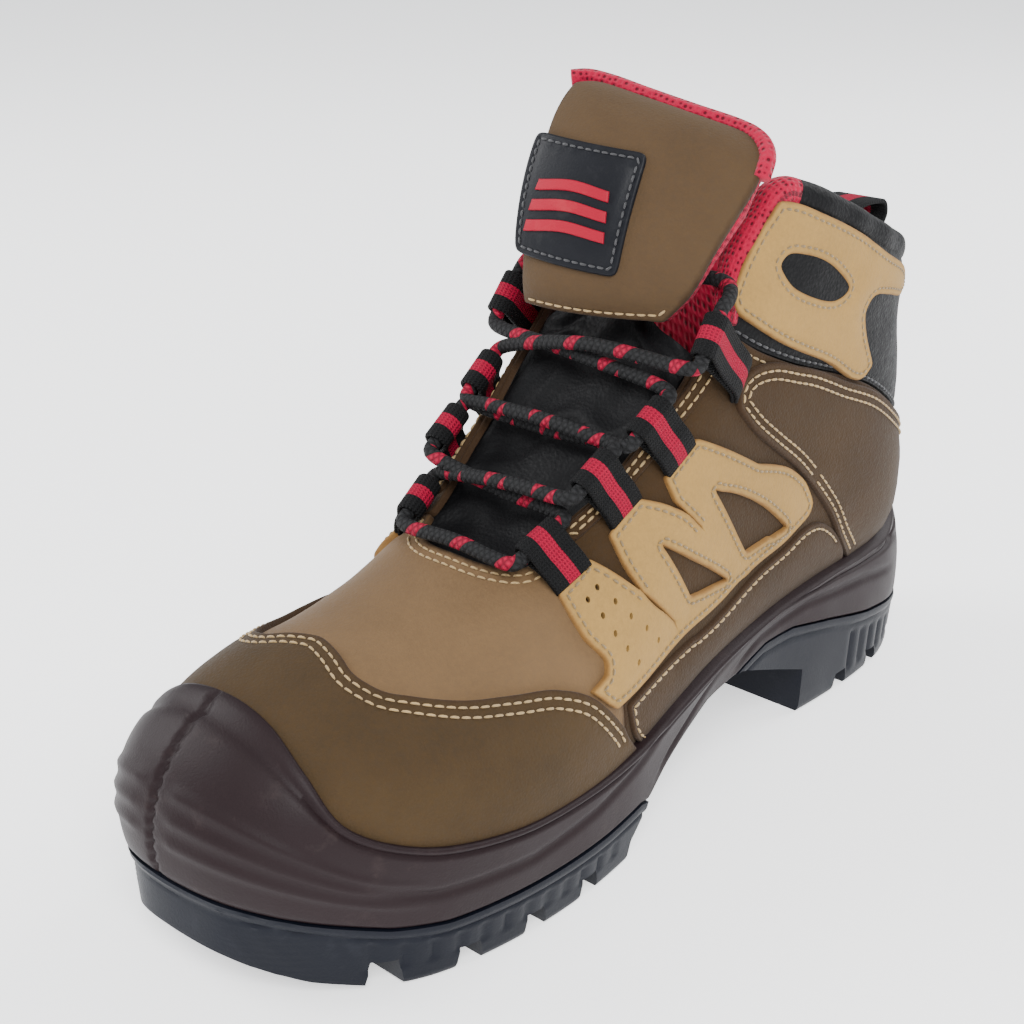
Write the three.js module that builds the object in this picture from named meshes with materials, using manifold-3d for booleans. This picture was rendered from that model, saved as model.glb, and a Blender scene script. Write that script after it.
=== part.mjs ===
// Steel toe work boot, left foot, as separate sub-parts.
// Frame: millimetres, +Z up, toe towards -Y, the wearer's outer (lateral) side towards +X,
// origin on the ground under the middle of the outsole.
//
// The upper is described on one curved sheet, the outside of the leather base layer. A place on it is
// (u, v): u counts the stations from the toe tip (0) to the collar top (19), v goes round each station
// from the instep line (0) over the lateral side to the sole line (1) and back over the medial side (2).
// Every leather, lining, foam and cap piece is an outline on that sheet between two offsets.

import * as THREE from 'three';
import { mergeVertices } from 'three/addons/utils/BufferGeometryUtils.js';
import Module from 'manifold-3d';

const wasm = await Module();
wasm.setup();

// ---------------------------------------------------------------- driving dimensions (mm)

const SOLE_LENGTH = 306;
const BALL_WIDTH = 104;
const COLLAR_HEIGHT = 187; // collar top at the instep, above the ground

const GAP = 0.3; // between neighbouring pieces
const SEAM = 0.9; // between two panels that butt on one layer
const LEATHER = 2; // base layer of the upper
const OVERLAY = 1.5; // panels sewn on the base layer
const CAP_WALL = 1.7; // steel toe cap and heel stiffener
const LINING = 1;
const BOARD = 2; // insole board
const PLATE = 1.2; // puncture plate
const SHANK = 2;
const FOOTBED = 4.5;
const COLLAR_FOAM = 6;
const TONGUE_FOAM = 11;
const GUSSET = 1.2;

const LACE = 4.2; // diameter
const LOOP_WIDTH = 13; // webbing lace loops
const LOOP_WALL = 1.3;
const LOOP_CLEARANCE = 0.35; // lace to webbing

const LUG_DEPTH = 5;
const GROOVE = 5.5;
const BRIDGE = 2; // outsole web under the arch
const BRIDGE_INSET = 9;

const PULL_WIDTH = 18;
const PULL_WALL = 1.6;
const PULL_RISE = 9; // finger room over the collar rim

const LABEL = 2.4; // rubber label thickness
const EMBLEM = 0.9;

// The tables below are drawn at this size and stretched to the driving dimensions.
const DRAWN_LENGTH = 306;
const DRAWN_WIDTH = 104;
const DRAWN_HEIGHT = 187;

const HALF = SOLE_LENGTH / 2;
const alongY = (a) => HALF - (a * SOLE_LENGTH) / DRAWN_LENGTH; // a: distance forward from the heel back
const acrossX = (x) => (x * BALL_WIDTH) / DRAWN_WIDTH;
const upZ = (z) => (z * COLLAR_HEIGHT) / DRAWN_HEIGHT;
const place = (x, a, z) => new THREE.Vector3(acrossX(x), alongY(a), upZ(z));

// ---------------------------------------------------------------- layers of the upper (offsets)

const BASE = [-LEATHER, 0];
const OVER = [GAP, GAP + OVERLAY];
const CAP = [BASE[0] - GAP - CAP_WALL, BASE[0] - GAP];
const LINED = [CAP[0] - GAP - LINING, CAP[0] - GAP];
const GUSSETED = [BASE[0] - GAP - GUSSET, BASE[0] - GAP];
const BOARDED = [BASE[0] - GAP - BOARD, BASE[0] - GAP];
const PLATED = [-GAP - PLATE, -GAP];
const SHANKED = [GAP, GAP + SHANK];
const BEDDED = [BOARDED[0] - GAP - FOOTBED, BOARDED[0] - GAP];
const FOAMED = [BASE[0] - GAP - COLLAR_FOAM, BASE[0] - GAP];
const COLLAR_SHIFT = FOAMED[0] - GAP - LINED[1]; // how much deeper the lining runs behind the foam

// ---------------------------------------------------------------- small helpers

const clamp01 = (t) => Math.min(1, Math.max(0, t));
const ease = (t) => clamp01(t) ** 2 * (3 - 2 * clamp01(t));
const lerp = (a, b, t) => a + (b - a) * t;

// A closed geometry as a manifold solid, with shared corners merged and empty triangles left out.
function solid(geometry) {
  const bare = new THREE.BufferGeometry();
  bare.setAttribute('position', geometry.getAttribute('position'));
  if (geometry.index) bare.setIndex(geometry.index);
  const merged = mergeVertices(bare, 1e-4);
  const corners = merged.index.array;
  const kept = [];
  for (let i = 0; i < corners.length; i += 3) {
    const [p, q, r] = [corners[i], corners[i + 1], corners[i + 2]];
    if (p !== q && q !== r && r !== p) kept.push(p, q, r);
  }
  const mesh = new wasm.Mesh({
    numProp: 3,
    vertProperties: merged.getAttribute('position').array,
    triVerts: new Uint32Array(kept),
  });
  return new wasm.Manifold(mesh);
}

function geometryOf(piece) {
  const mesh = piece.getMesh();
  const indexed = new THREE.BufferGeometry();
  indexed.setAttribute('position', new THREE.BufferAttribute(new Float32Array(mesh.vertProperties), 3));
  indexed.setIndex(new THREE.BufferAttribute(new Uint32Array(mesh.triVerts), 1));
  const flat = indexed.toNonIndexed();
  flat.computeVertexNormals();
  return flat;
}

function indexedGeometry(points, triangles) {
  const geometry = new THREE.BufferGeometry().setFromPoints(points);
  geometry.setIndex(triangles);
  return geometry;
}

// A polygon of [first, second] pairs pushed out along the third axis, from low to high.
function prism(outline, low, high, holes = []) {
  const corners = outline.map(([p, q]) => new THREE.Vector2(p, q));
  if (THREE.ShapeUtils.isClockWise(corners)) corners.reverse();
  const shape = new THREE.Shape(corners);
  holes.forEach((hole) => shape.holes.push(new THREE.Path(hole.map(([p, q]) => new THREE.Vector2(p, q)))));
  const geometry = new THREE.ExtrudeGeometry(shape, { depth: high - low, bevelEnabled: false });
  return geometry.translate(0, 0, low);
}

// A side-view polygon of [a, z] pairs, as a solid bar from x low to x high.
function sideBar(outline, low, high) {
  const geometry = prism(outline.map(([a, z]) => [alongY(a), upZ(z)]), low, high);
  const across = new THREE.Matrix4().set(0, 0, 1, 0, 1, 0, 0, 0, 0, 1, 0, 0, 0, 0, 0, 1);
  return solid(geometry.applyMatrix4(across));
}

function box(center, size) {
  return solid(new THREE.BoxGeometry(...size).translate(...center));
}

// Rings of equal length joined to one closed solid; the ends are closed at their middles.
function loft(rings) {
  const count = rings[0].length;
  const points = rings.flat();
  const triangles = [];
  for (let k = 0; k + 1 < rings.length; k++) {
    for (let i = 0; i < count; i++) {
      const j = (i + 1) % count;
      const [p, q, r, s] = [k * count + i, k * count + j, (k + 1) * count + j, (k + 1) * count + i];
      triangles.push(p, q, r, p, r, s);
    }
  }
  for (const [ring, flip] of [[0, true], [rings.length - 1, false]]) {
    const middle = new THREE.Vector3();
    rings[ring].forEach((p) => middle.addScaledVector(p, 1 / count));
    points.push(middle);
    for (let i = 0; i < count; i++) {
      const [p, q] = [ring * count + i, ring * count + ((i + 1) % count)];
      triangles.push(...(flip ? [q, p] : [p, q]), points.length - 1);
    }
  }
  return solid(indexedGeometry(points, triangles));
}

// ---------------------------------------------------------------- curved sheets

// A faceted sheet. Pieces that lie on it share its facets, so their layers stay parallel.
class Sheet {
  constructor(point, uLines, vStep) {
    this.point = point;
    this.uLines = uLines;
    this.vStep = vStep;
    this.nodes = new Map();
  }

  node(i, j) {
    const key = `${i},${j}`;
    if (!this.nodes.has(key)) {
      const [u, v] = [this.uLines[i], j * this.vStep];
      this.nodes.set(key, { base: this.point(u, v), normal: this.normal(u, v) });
    }
    return this.nodes.get(key);
  }

  normal(u, v) {
    const step = 1e-3;
    const last = this.uLines.at(-1);
    const alongU = this.point(Math.min(u + step, last), v).sub(this.point(Math.max(u - step, 0), v));
    const alongV = this.point(u, v + step).sub(this.point(u, v - step));
    const normal = alongV.cross(alongU);
    return normal.length() < 1e-9 ? new THREE.Vector3(0, -1, 0) : normal.normalize();
  }

  // The corners of the facet that holds (u, v), as grid places [i, j], and the share of each.
  facet(u, v) {
    const lines = this.uLines;
    let i = 0;
    while (i < lines.length - 2 && u > lines[i + 1]) i++;
    const j = Math.floor(v / this.vStep);
    const s = (u - lines[i]) / (lines[i + 1] - lines[i]);
    const t = v / this.vStep - j;
    const shares = s >= t ? [1 - s, s - t, t] : [1 - t, t - s, s];
    const corners = s >= t ? [[i, j], [i + 1, j], [i + 1, j + 1]] : [[i, j], [i, j + 1], [i + 1, j + 1]];
    return corners.map((corner, k) => [corner, shares[k]]);
  }

  // The place at (u, v), h outside the sheet.
  at(u, v, h = 0) {
    const sum = new THREE.Vector3();
    for (const [[i, j], share] of this.facet(u, v)) {
      const { base, normal } = this.node(i, j);
      sum.addScaledVector(base, share).addScaledVector(normal, share * h);
    }
    return sum;
  }

  // Curving the flat layout a little keeps every facet when it is cut.
  bow(u, v) {
    const w = v / this.vStep;
    return 0.5 * u * u + 0.4 * w * w + 0.5 * u * w;
  }

  bowOfFacet(u, v) {
    return this.facet(u, v).reduce((sum, [[i, j], share]) => sum + share * this.bow(this.uLines[i], j * this.vStep), 0);
  }

  // The whole grid as a slab between two offsets, laid out flat.
  slab(outline, [low, high]) {
    const us = outline.map(([u]) => u);
    const vs = outline.map(([, v]) => v);
    const lines = this.uLines;
    let first = 0;
    while (first < lines.length - 2 && lines[first + 1] <= Math.min(...us)) first++;
    let last = lines.length - 1;
    while (last > first + 1 && lines[last - 1] >= Math.max(...us)) last--;
    const left = Math.floor(Math.min(...vs) / this.vStep - 1e-6);
    const right = Math.ceil(Math.max(...vs) / this.vStep + 1e-6);
    const [rows, columns] = [last - first + 1, right - left + 1];
    const points = [];
    for (const h of [low, high]) {
      for (let i = first; i <= last; i++) {
        for (let j = left; j <= right; j++) {
          const [u, v] = [lines[i], j * this.vStep];
          points.push(new THREE.Vector3(u, v / this.vStep, h + this.bow(u, v)));
        }
      }
    }
    const id = (layer, i, j) => (layer * rows + i) * columns + j;
    const triangles = [];
    for (let i = 0; i + 1 < rows; i++) {
      for (let j = 0; j + 1 < columns; j++) {
        for (const layer of [0, 1]) {
          const corners = [id(layer, i, j), id(layer, i + 1, j), id(layer, i + 1, j + 1), id(layer, i, j + 1)];
          const [p, q, r, s] = corners;
          triangles.push(...(layer ? [p, q, r, p, r, s] : [p, r, q, p, s, r]));
        }
      }
    }
    const wall = (p, q) => {
      const [lowP, lowQ, highP, highQ] = [id(0, ...p), id(0, ...q), id(1, ...p), id(1, ...q)];
      triangles.push(lowP, lowQ, highQ, lowP, highQ, highP);
    };
    for (let i = 0; i + 1 < rows; i++) {
      wall([i, 0], [i + 1, 0]);
      wall([i + 1, columns - 1], [i, columns - 1]);
    }
    for (let j = 0; j + 1 < columns; j++) {
      wall([0, j + 1], [0, j]);
      wall([rows - 1, j], [rows - 1, j + 1]);
    }
    return solid(indexedGeometry(points, triangles));
  }

  // A flat-layout piece: the grid slab cut to an outline of [u, v] pairs.
  flat(outline, layer, holes = []) {
    const scaled = (line) => line.map(([u, v]) => [u, v / this.vStep]);
    const bows = outline.map(([u, v]) => this.bow(u, v));
    const margin = 5 + Math.max(...bows) - Math.min(...bows);
    const [low, high] = [Math.min(...bows) - margin + layer[0], Math.max(...bows) + margin + layer[1]];
    const cutter = solid(prism(scaled(outline), low, high, holes.map(scaled)));
    return this.slab(outline, layer).intersect(cutter);
  }

  // A flat-layout piece moved on to the sheet; shift(u, v) moves it further out.
  wrap(piece, shift = () => 0) {
    const mesh = piece.getMesh();
    const points = [];
    for (let k = 0; k < mesh.vertProperties.length; k += mesh.numProp) {
      const [u, w, height] = mesh.vertProperties.slice(k, k + 3);
      const v = w * this.vStep;
      points.push(this.at(u, v, height - this.bowOfFacet(u, v) + shift(u, v)));
    }
    // The flat layout is a mirror image of the sheet seen from outside, so its facets are turned over.
    return solid(indexedGeometry(points, [...mesh.triVerts].reverse()));
  }

  panel(outline, layer, holes, shift) {
    return this.wrap(this.flat(outline, layer, holes), shift);
  }
}

// The same outline on the medial side.
const mirror = (outline) => outline.map(([u, v]) => [u, -v]).reverse();

// A lateral line carried round the back of the boot to the medial side, as one closed outline.
const roundTheBack = (line) => [...line, ...line.filter(([, v]) => v !== 1).map(([u, v]) => [u, 2 - v]).reverse()];

// An outline drawn in from its neighbours by a distance in millimetres on the sheet.
function drawnIn(sheet, outline, distance = SEAM / 2) {
  const area = outline.reduce((sum, [u, v], k) => {
    const [nextU, nextV] = outline[(k + 1) % outline.length];
    return sum + u * nextV - nextU * v;
  }, 0);
  const side = area > 0 ? 1 : -1;
  return outline.map(([u, v], k) => {
    const [pu, pv] = outline[(k + outline.length - 1) % outline.length];
    const [nu, nv] = outline[(k + 1) % outline.length];
    const perU = Math.max(4, sheet.point(clampU(sheet, u + 0.1), v).distanceTo(sheet.point(clampU(sheet, u - 0.1), v)) / 0.2);
    const perV = Math.max(20, sheet.point(clampU(sheet, u), v + 0.01).distanceTo(sheet.point(clampU(sheet, u), v - 0.01)) / 0.02);
    const before = new THREE.Vector2((u - pu) * perU, (v - pv) * perV).normalize();
    const after = new THREE.Vector2((nu - u) * perU, (nv - v) * perV).normalize();
    const inward = new THREE.Vector2(-before.y - after.y, before.x + after.x).multiplyScalar(side);
    const length = Math.max(0.8, inward.length());
    inward.normalize().multiplyScalar((2 * distance) / length);
    return [u + inward.x / perU, v + inward.y / perV];
  });
}

const clampU = (sheet, u) => Math.min(sheet.uLines.at(-1), Math.max(0, u));

// ---------------------------------------------------------------- the last: stations of the upper

// Each station: instep point [a, z], sole point [a, z], lateral and medial half widths, middle x,
// roundness above and below, and the widest point as a share of the way up.
const STATIONS = [
  [297, 43, 297, 43, 0, 0, -7, 2.1, 2.6, 0.45],
  [295, 55, 295, 32, 19, 18, -6, 2.1, 2.6, 0.45],
  [288, 64, 288, 25, 32, 29, -5, 2.1, 3.0, 0.42],
  [276, 72, 276, 21, 42, 37, -3, 2.1, 3.2, 0.38],
  [258, 77, 258, 19, 48, 43, -1, 2.1, 3.4, 0.36],
  [236, 79, 236, 18, 51, 46, 0, 2.1, 3.4, 0.36],
  [214, 84, 212, 18, 51, 46, 0, 2.2, 3.4, 0.36],
  [197, 92, 190, 20, 49, 44, 0, 2.4, 3.4, 0.36],
  [181, 106, 166, 27, 45.5, 41, 0, 2.6, 3.4, 0.32],
  [167, 120, 140, 35, 43, 39, 0, 2.8, 3.4, 0.28],
  [157, 134, 112, 37, 41, 37, 0, 3.0, 3.4, 0.32],
  [151, 146, 80, 37.5, 39.5, 36, 0, 3.0, 3.4, 0.37],
  [148, 153, 45, 37, 38, 36, 0, 3.0, 3.3, 0.42],
  [145, 157, 16, 41, 38, 36, 0, 2.9, 3.0, 0.46],
  [142, 160, 6, 57, 38, 36, 0, 2.8, 2.6, 0.49],
  [139, 164, 6, 78, 38, 36.5, 0, 2.7, 2.3, 0.5],
  [135, 169, 10, 98, 38, 37.5, 0, 2.6, 2.2, 0.5],
  [131, 174, 14, 116, 38.5, 38, 0, 2.6, 2.2, 0.5],
  [126, 180, 13, 132, 39, 39, 0, 2.5, 2.2, 0.5],
  [120, 187, 14, 147, 38, 38, 0, 2.5, 2.2, 0.5],
];

// The station values at any u, on a smooth curve through the table.
function station(u) {
  const last = STATIONS.length - 1;
  const [topA, topZ, soleA, soleZ, lateral, medial, ...rest] = STATIONS[1];
  const beyondToe = [soleA, soleZ, topA, topZ, -lateral, -medial, ...rest];
  const beyondTop = STATIONS[last].map((value, k) => 2 * value - STATIONS[last - 1][k]);
  const table = [beyondToe, ...STATIONS, beyondTop];
  const k = Math.min(Math.floor(u), last - 1);
  const t = u - k;
  return table[k].map((p0, n) => {
    const [p1, p2, p3] = [table[k + 1][n], table[k + 2][n], table[k + 3][n]];
    const [linear, square, cube] = [p2 - p0, 2 * p0 - 5 * p1 + 4 * p2 - p3, 3 * p1 - p0 - 3 * p2 + p3];
    return 0.5 * (2 * p1 + linear * t + square * t * t + cube * t ** 3);
  });
}

function lastPoint(u, v) {
  const [topA, topZ, soleA, soleZ, lateral, medial, middle, above, below, share] = station(u);
  const [c, s] = [Math.cos(Math.PI * v), Math.sin(Math.PI * v)];
  const power = 2 / (c > 0 ? above : below);
  const rise = Math.sign(c) * Math.abs(c) ** power;
  const spread = Math.sign(s) * Math.abs(s) ** power;
  const f = rise > 0 ? share + (1 - share) * rise : share + share * rise;
  const width = spread > 0 ? lateral : medial;
  return place(middle + width * spread, lerp(soleA, topA, f), lerp(soleZ, topZ, f));
}

const U_LINES = [0, 0.6, 1.3, 2, 3, 4, 5, 6, 7, 8, 9, 10, 11, 12, 13, 14, 15, 16, 17, 18, 19];
const ROUND = 20; // facets round the upper
const upper = new Sheet(lastPoint, U_LINES, 2 / ROUND);

// The space inside an offset of the sheet, as one solid.
function lastSolid(h) {
  const points = [upper.at(0, 0, h)];
  const triangles = [];
  const ring = (i, j) => 1 + (i - 1) * ROUND + ((j + ROUND) % ROUND);
  for (let i = 1; i < U_LINES.length; i++) {
    for (let j = 0; j < ROUND; j++) points.push(upper.at(U_LINES[i], (j * 2) / ROUND, h));
  }
  for (let j = 0; j < ROUND; j++) {
    triangles.push(0, ring(1, j + 1), ring(1, j));
    for (let i = 1; i + 1 < U_LINES.length; i++) {
      const [p, q, r, s] = [ring(i, j), ring(i, j + 1), ring(i + 1, j + 1), ring(i + 1, j)];
      triangles.push(p, q, r, p, r, s);
    }
  }
  const end = U_LINES.length - 1;
  const middle = new THREE.Vector3();
  for (let j = 0; j < ROUND; j++) middle.addScaledVector(points[ring(end, j)], 1 / ROUND);
  points.push(middle);
  for (let j = 0; j < ROUND; j++) triangles.push(ring(end, j), ring(end, j + 1), points.length - 1);
  return solid(indexedGeometry(points, triangles));
}

// ---------------------------------------------------------------- outlines on the upper

// The leather is turned in under the sole as far as this line.
const TURN_IN = [[0, 0.97], [1, 0.93], [2, 0.85], [3, 0.82], [10, 0.82], [11.5, 0.86], [12.5, 0.94]];
const TURN_IN_HEEL = [12.7, 1];

const turnInAt = (u, rise = 0) => {
  const k = Math.max(1, TURN_IN.findIndex(([end]) => end >= u));
  const [[u0, v0], [u1, v1]] = [TURN_IN[k - 1], TURN_IN[k]];
  return lerp(v0, v1, (u - u0) / (u1 - u0)) - rise;
};
const turnInBetween = (from, to, rise = 0) => {
  const inner = TURN_IN.filter(([u]) => u > from && u < to).map(([u, v]) => [u, v - rise]);
  return [[from, turnInAt(Math.max(from, 0), rise)], ...inner, [to, turnInAt(to, rise)]];
};

// Throat: the edge of the leather beside the laces, from the vamp up to the ankle.
const THROAT_U = [[6.45, 0], [6.5, 0.06], [6.72, 0.11], [7.1, 0.13]];
const THROAT_SIDE = [[7.5, 0.13], [8.24, 0.166], [8.9, 0.182], [9.6, 0.204], [10.8, 0.244], [11.7, 0.252], [12.5, 0.25]];
const QUARTER_TOP = [[12.68, 0.266], [13.08, 0.346], [13.72, 0.424], [14.48, 0.498], [14.8, 0.56], [14.95, 0.7], [15, 1]];
const VAMP_SEAM = 7.1;

const halfVamp = [...THROAT_U.slice(1), ...turnInBetween(0, VAMP_SEAM).reverse()];
halfVamp[halfVamp.length - 1] = [-0.3, 0.97];
const VAMP = [THROAT_U[0], ...halfVamp, ...mirror(halfVamp)];

const QUARTER = [
  [VAMP_SEAM, 0.13],
  ...THROAT_SIDE,
  ...QUARTER_TOP,
  TURN_IN_HEEL,
  ...turnInBetween(VAMP_SEAM, 12.5).reverse(),
];

const GUARD_EDGE = [
  [4.18, 0], [4.08, 0.056], [3.96, 0.11], [4.04, 0.164], [4.28, 0.198], [4.66, 0.236], [5.34, 0.284],
  [5.96, 0.334], [6.38, 0.388], [6.74, 0.456], [7.04, 0.506], [7.42, 0.65], [7.5, 0.8],
];
const halfGuard = [...GUARD_EDGE.slice(1), ...turnInBetween(0, 7.4, 0.02).reverse()];
halfGuard[halfGuard.length - 1] = [-0.3, 0.95];
const TOE_GUARD = [GUARD_EDGE[0], ...halfGuard, ...mirror(halfGuard)];

const SIDE_OVERLAY = [
  [7.42, 0.208], [6.76, 0.198], [6.8, 0.298], [6.96, 0.374], [6.86, 0.386], [6.42, 0.386], [6.84, 0.468],
  [7.36, 0.478], [8.54, 0.498], [9.7, 0.52], [10.48, 0.536], [11.12, 0.548], [11.48, 0.546], [11.8, 0.53],
  [11.92, 0.508], [11.8, 0.494], [11.4, 0.468], [10.86, 0.422], [10.46, 0.37], [10.08, 0.312],
  [9.18, 0.276], [9.16, 0.312], [9.24, 0.354], [8.88, 0.3], [8.58, 0.24], [7.9, 0.23], [7.88, 0.278],
  [8.06, 0.372], [8.44, 0.464], [7.84, 0.366], [7.58, 0.282],
];
const SIDE_WINDOWS = [
  [[10, 0.404], [10.26, 0.496], [11.22, 0.514], [10.84, 0.484]],
  [[8.62, 0.354], [8.88, 0.462], [9.66, 0.492]],
];

const FOXING = [
  [7.14, 0.487], [8.54, 0.508], [9.7, 0.53], [10.48, 0.546], [11.12, 0.558], [11.55, 0.558], [11.78, 0.575],
  [11.86, 0.62], [11.88, 0.8], [10, 0.8], [7.62, 0.8], [7.54, 0.65], [7.24, 0.53],
];

const COUNTER = [
  [12.55, 1], [12, 0.84], [11.98, 0.776], [11.94, 0.602], [12.04, 0.53], [11.97, 0.494], [11.66, 0.454], [11.42, 0.412],
  [11.3, 0.368], [11.48, 0.352], [12.1, 0.348], [12.88, 0.364], [13.78, 0.43], [14.46, 0.505],
  [14.72, 0.56], [14.82, 0.7], [14.87, 1],
];

const EYESTAY = [
  [7.5, 0.137], [8.24, 0.173], [8.9, 0.189], [9.6, 0.211], [10.8, 0.251], [11.7, 0.259], [12.4, 0.262],
  [12.3, 0.3], [11.5, 0.296], [10.8, 0.288], [9.6, 0.25], [8.9, 0.228], [8.24, 0.208], [7.6, 0.178], [7.44, 0.168],
];

const COLLAR_END = 18.7;
const COLLAR_FRONT = 0.256;
const COLLAR = [
  ...[...QUARTER_TOP].reverse(),
  [12.8, 0.262], [14.2, COLLAR_FRONT], [COLLAR_END, COLLAR_FRONT], [COLLAR_END, 1],
];

const COLLAR_PANEL = [
  [13.2, 0.3], [13.44, 0.338], [14.04, 0.418], [14.54, 0.498], [14.86, 0.53], [15.24, 0.552], [15.62, 0.548],
  [16.16, 0.532], [16.62, 0.532], [17.12, 0.592], [17.5, 0.72], [17.75, 0.75], [17.95, 0.69], [18.1, 0.552],
  [18.24, 0.488], [18.24, 0.408], [18.22, 0.336], [18.06, 0.274], [16.56, 0.266], [15.08, 0.262], [14.12, 0.268],
];
const COLLAR_SLOT = [
  [16.42, 0.346], [16.7, 0.352], [16.78, 0.376], [16.74, 0.448], [16.68, 0.478], [16.38, 0.48], [16.14, 0.454],
  [15.8, 0.39], [15.76, 0.362], [16.1, 0.344],
];

const FOAM_START = 14.3;
const FOAM = [[FOAM_START, 1], [FOAM_START, 0.27], [COLLAR_END, 0.27], [COLLAR_END, 1]];
const collarShift = (u) => COLLAR_SHIFT * ease((u - 12.7) / (FOAM_START - 0.3 - 12.7));

const LINING_FOOT = 0.69;
const VAMP_LINING = [
  [6.05, 0], [6.05, 0.12], [6.95, 0.16], [6.98, LINING_FOOT], [2, LINING_FOOT], [0, 0.9], [-0.3, 0.9],
];
const QUARTER_LINING = [
  [12.6, 1], [12, 0.84], [10.5, LINING_FOOT], [7.05, LINING_FOOT], [7.05, 0.16], [9.6, 0.222], [11.7, 0.27],
  [12.8, 0.28], [18.94, 0.268], [18.94, 1],
];
const RIM = [[COLLAR_END + 0.03, 1], [COLLAR_END + 0.03, 0.262], [19.3, 0.262], [19.3, 1]];

// The front of the boot's inside: pieces whose outline goes from the instep round the toe.
const bothSides = (half) => [...half, ...mirror(half.slice(1))];

// ---------------------------------------------------------------- pieces of the upper

function drawnPanel(outline, layer, holes = []) {
  return upper.panel(drawnIn(upper, outline), layer, holes);
}

const vamp = drawnPanel(VAMP, BASE);
const toeGuard = drawnPanel(TOE_GUARD, OVER);

function toeCap() {
  const end = 5.1;
  const half = [[end, 0], [end, 0.3], [end - 0.35, 0.68], [2, 0.68], [1, 0.78], [0, 0.93], [-0.3, 0.93]];
  return upper.panel(bothSides(half), CAP);
}

function heelStiffener() {
  const line = [[12.62, 1], [12.2, 0.84], [11, 0.76], [11.2, 0.6], [12.4, 0.5], [13.6, 0.52], [14, 0.7], [14.05, 1]];
  return upper.panel(roundTheBack(line.reverse()), CAP);
}

function quarterLining() {
  const wall = upper.flat(roundTheBack(QUARTER_LINING), LINED);
  // The rim is laid out in the lining's own shifted depth, so that both join before they are wrapped.
  const rim = upper.flat(roundTheBack(RIM), [LINED[0], -COLLAR_SHIFT]);
  return upper.wrap(wall.add(rim), collarShift);
}

function insoleBoard() {
  const half = [[12.3, 1], [12.1, 0.87], [11, 0.8], [9, 0.74], [2.2, 0.74], [1.5, 0.8], [1.3, 1]];
  return upper.panel(roundTheBack(half), BOARDED);
}

function puncturePlate() {
  const half = [[11.9, 1], [11.6, 0.9], [11, 0.88], [9, 0.845], [3, 0.845], [2.2, 0.87], [1.8, 1]];
  return upper.panel(roundTheBack(half), PLATED);
}

const SHANK_ENDS = [7.6, 11.2];
const SHANK_SIDE = 0.95;
const shankOutline = (grow) => {
  const [from, to] = [SHANK_ENDS[0] - grow, SHANK_ENDS[1] + grow];
  const side = SHANK_SIDE - grow / 8;
  return [[from, side], [to, side], [to, 2 - side], [from, 2 - side]];
};

function footbed() {
  const half = [[12.2, 1], [12, 0.88], [11, 0.82], [9, 0.76], [3, 0.76], [2.3, 0.82], [2, 1]];
  return upper.panel(roundTheBack(half), BEDDED);
}

// Soft black leather between the throat edges, sunk along its middle, up to the padded tongue.
const TONGUE_FOOT = 141.5;
const GUSSET_TOP = 12;

function gusset() {
  const side = [[6.15, 0.1], [6.9, 0.15], [8.24, 0.185], [9.6, 0.215], [11, 0.25], [GUSSET_TOP, 0.26]];
  const outline = [...side, ...mirror(side)];
  const sunk = (u, v) => {
    const half = lerp(0.13, 0.25, clamp01((u - 7) / 4));
    const depth = 4 * ease((u - 6.5) / 0.9) + 4 * ease((u - 8.5) / 2);
    return -depth * Math.max(0, 1 - (v / half) ** 2);
  };
  const sheet = upper.panel(outline, GUSSETED, [], sunk);
  const above = box([0, 0, upZ(TONGUE_FOOT) - GAP + 100], [300, 400, 200]);
  return sheet.subtract(above);
}

// ---------------------------------------------------------------- tongue

// Centre line of the padded tongue's face: [a, z, half width, set-back at the edges], foot to top.
const TONGUE_LINE = [
  [156, 141.5, 24, 4],
  [158, 153, 28, 7],
  [155.5, 168, 31.5, 9],
  [150, 182, 34, 10],
  [142.5, 193, 35, 10],
  [132, 199.5, 34.5, 9],
  [121, 201.5, 33, 8],
];
const TONGUE_MIDDLE = -4;
const TONGUE_TURN = 0.17; // the face is turned a little towards the lateral side
const TONGUE_TILT = 0.24; // its top edge drops towards the lateral side

function tonguePoint(u, v) {
  const last = TONGUE_LINE.length - 1;
  const k = Math.min(Math.floor(u), last - 1);
  const t = u - k;
  const row = (i) => TONGUE_LINE[Math.min(last, Math.max(0, i))];
  const [a, z, half, setBack] = row(k).map((p1, n) => {
    const [p0, p2, p3] = [row(k - 1)[n], row(k + 1)[n], row(k + 2)[n]];
    const [linear, square, cube] = [p2 - p0, 2 * p0 - 5 * p1 + 4 * p2 - p3, 3 * p1 - p0 - 3 * p2 + p3];
    return 0.5 * (2 * p1 + linear * t + square * t * t + cube * t ** 3);
  });
  const x = half * v;
  return place(TONGUE_MIDDLE + x, a - setBack * v * v - TONGUE_TURN * x, z - (TONGUE_TILT * x * u) / last);
}

const TONGUE_END = TONGUE_LINE.length - 1;
const TONGUE_U = [0, 1, 2, 3, 4, 5, 5.6, TONGUE_END];
const tongue = new Sheet(tonguePoint, TONGUE_U, 0.25);
const RIM_START = 5.6;
const TONGUE_BACK = -TONGUE_FOAM;

const tonguePad = () => tongue.panel([[-0.5, -1], [RIM_START, -1], [RIM_START, 1], [-0.5, 1]], [TONGUE_BACK, 0]);

function tongueLining() {
  const back = [[-0.5, -0.98], [7, -0.98], [7, 0.98], [-0.5, 0.98]];
  const rim = [[RIM_START + 0.05, -0.98], [7, -0.98], [7, 0.98], [RIM_START + 0.05, 0.98]];
  const sheet = tongue.flat(back, [TONGUE_BACK - GAP - LINING, TONGUE_BACK - GAP]);
  return tongue.wrap(sheet.add(tongue.flat(rim, [TONGUE_BACK - GAP - LINING, 0])));
}

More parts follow.
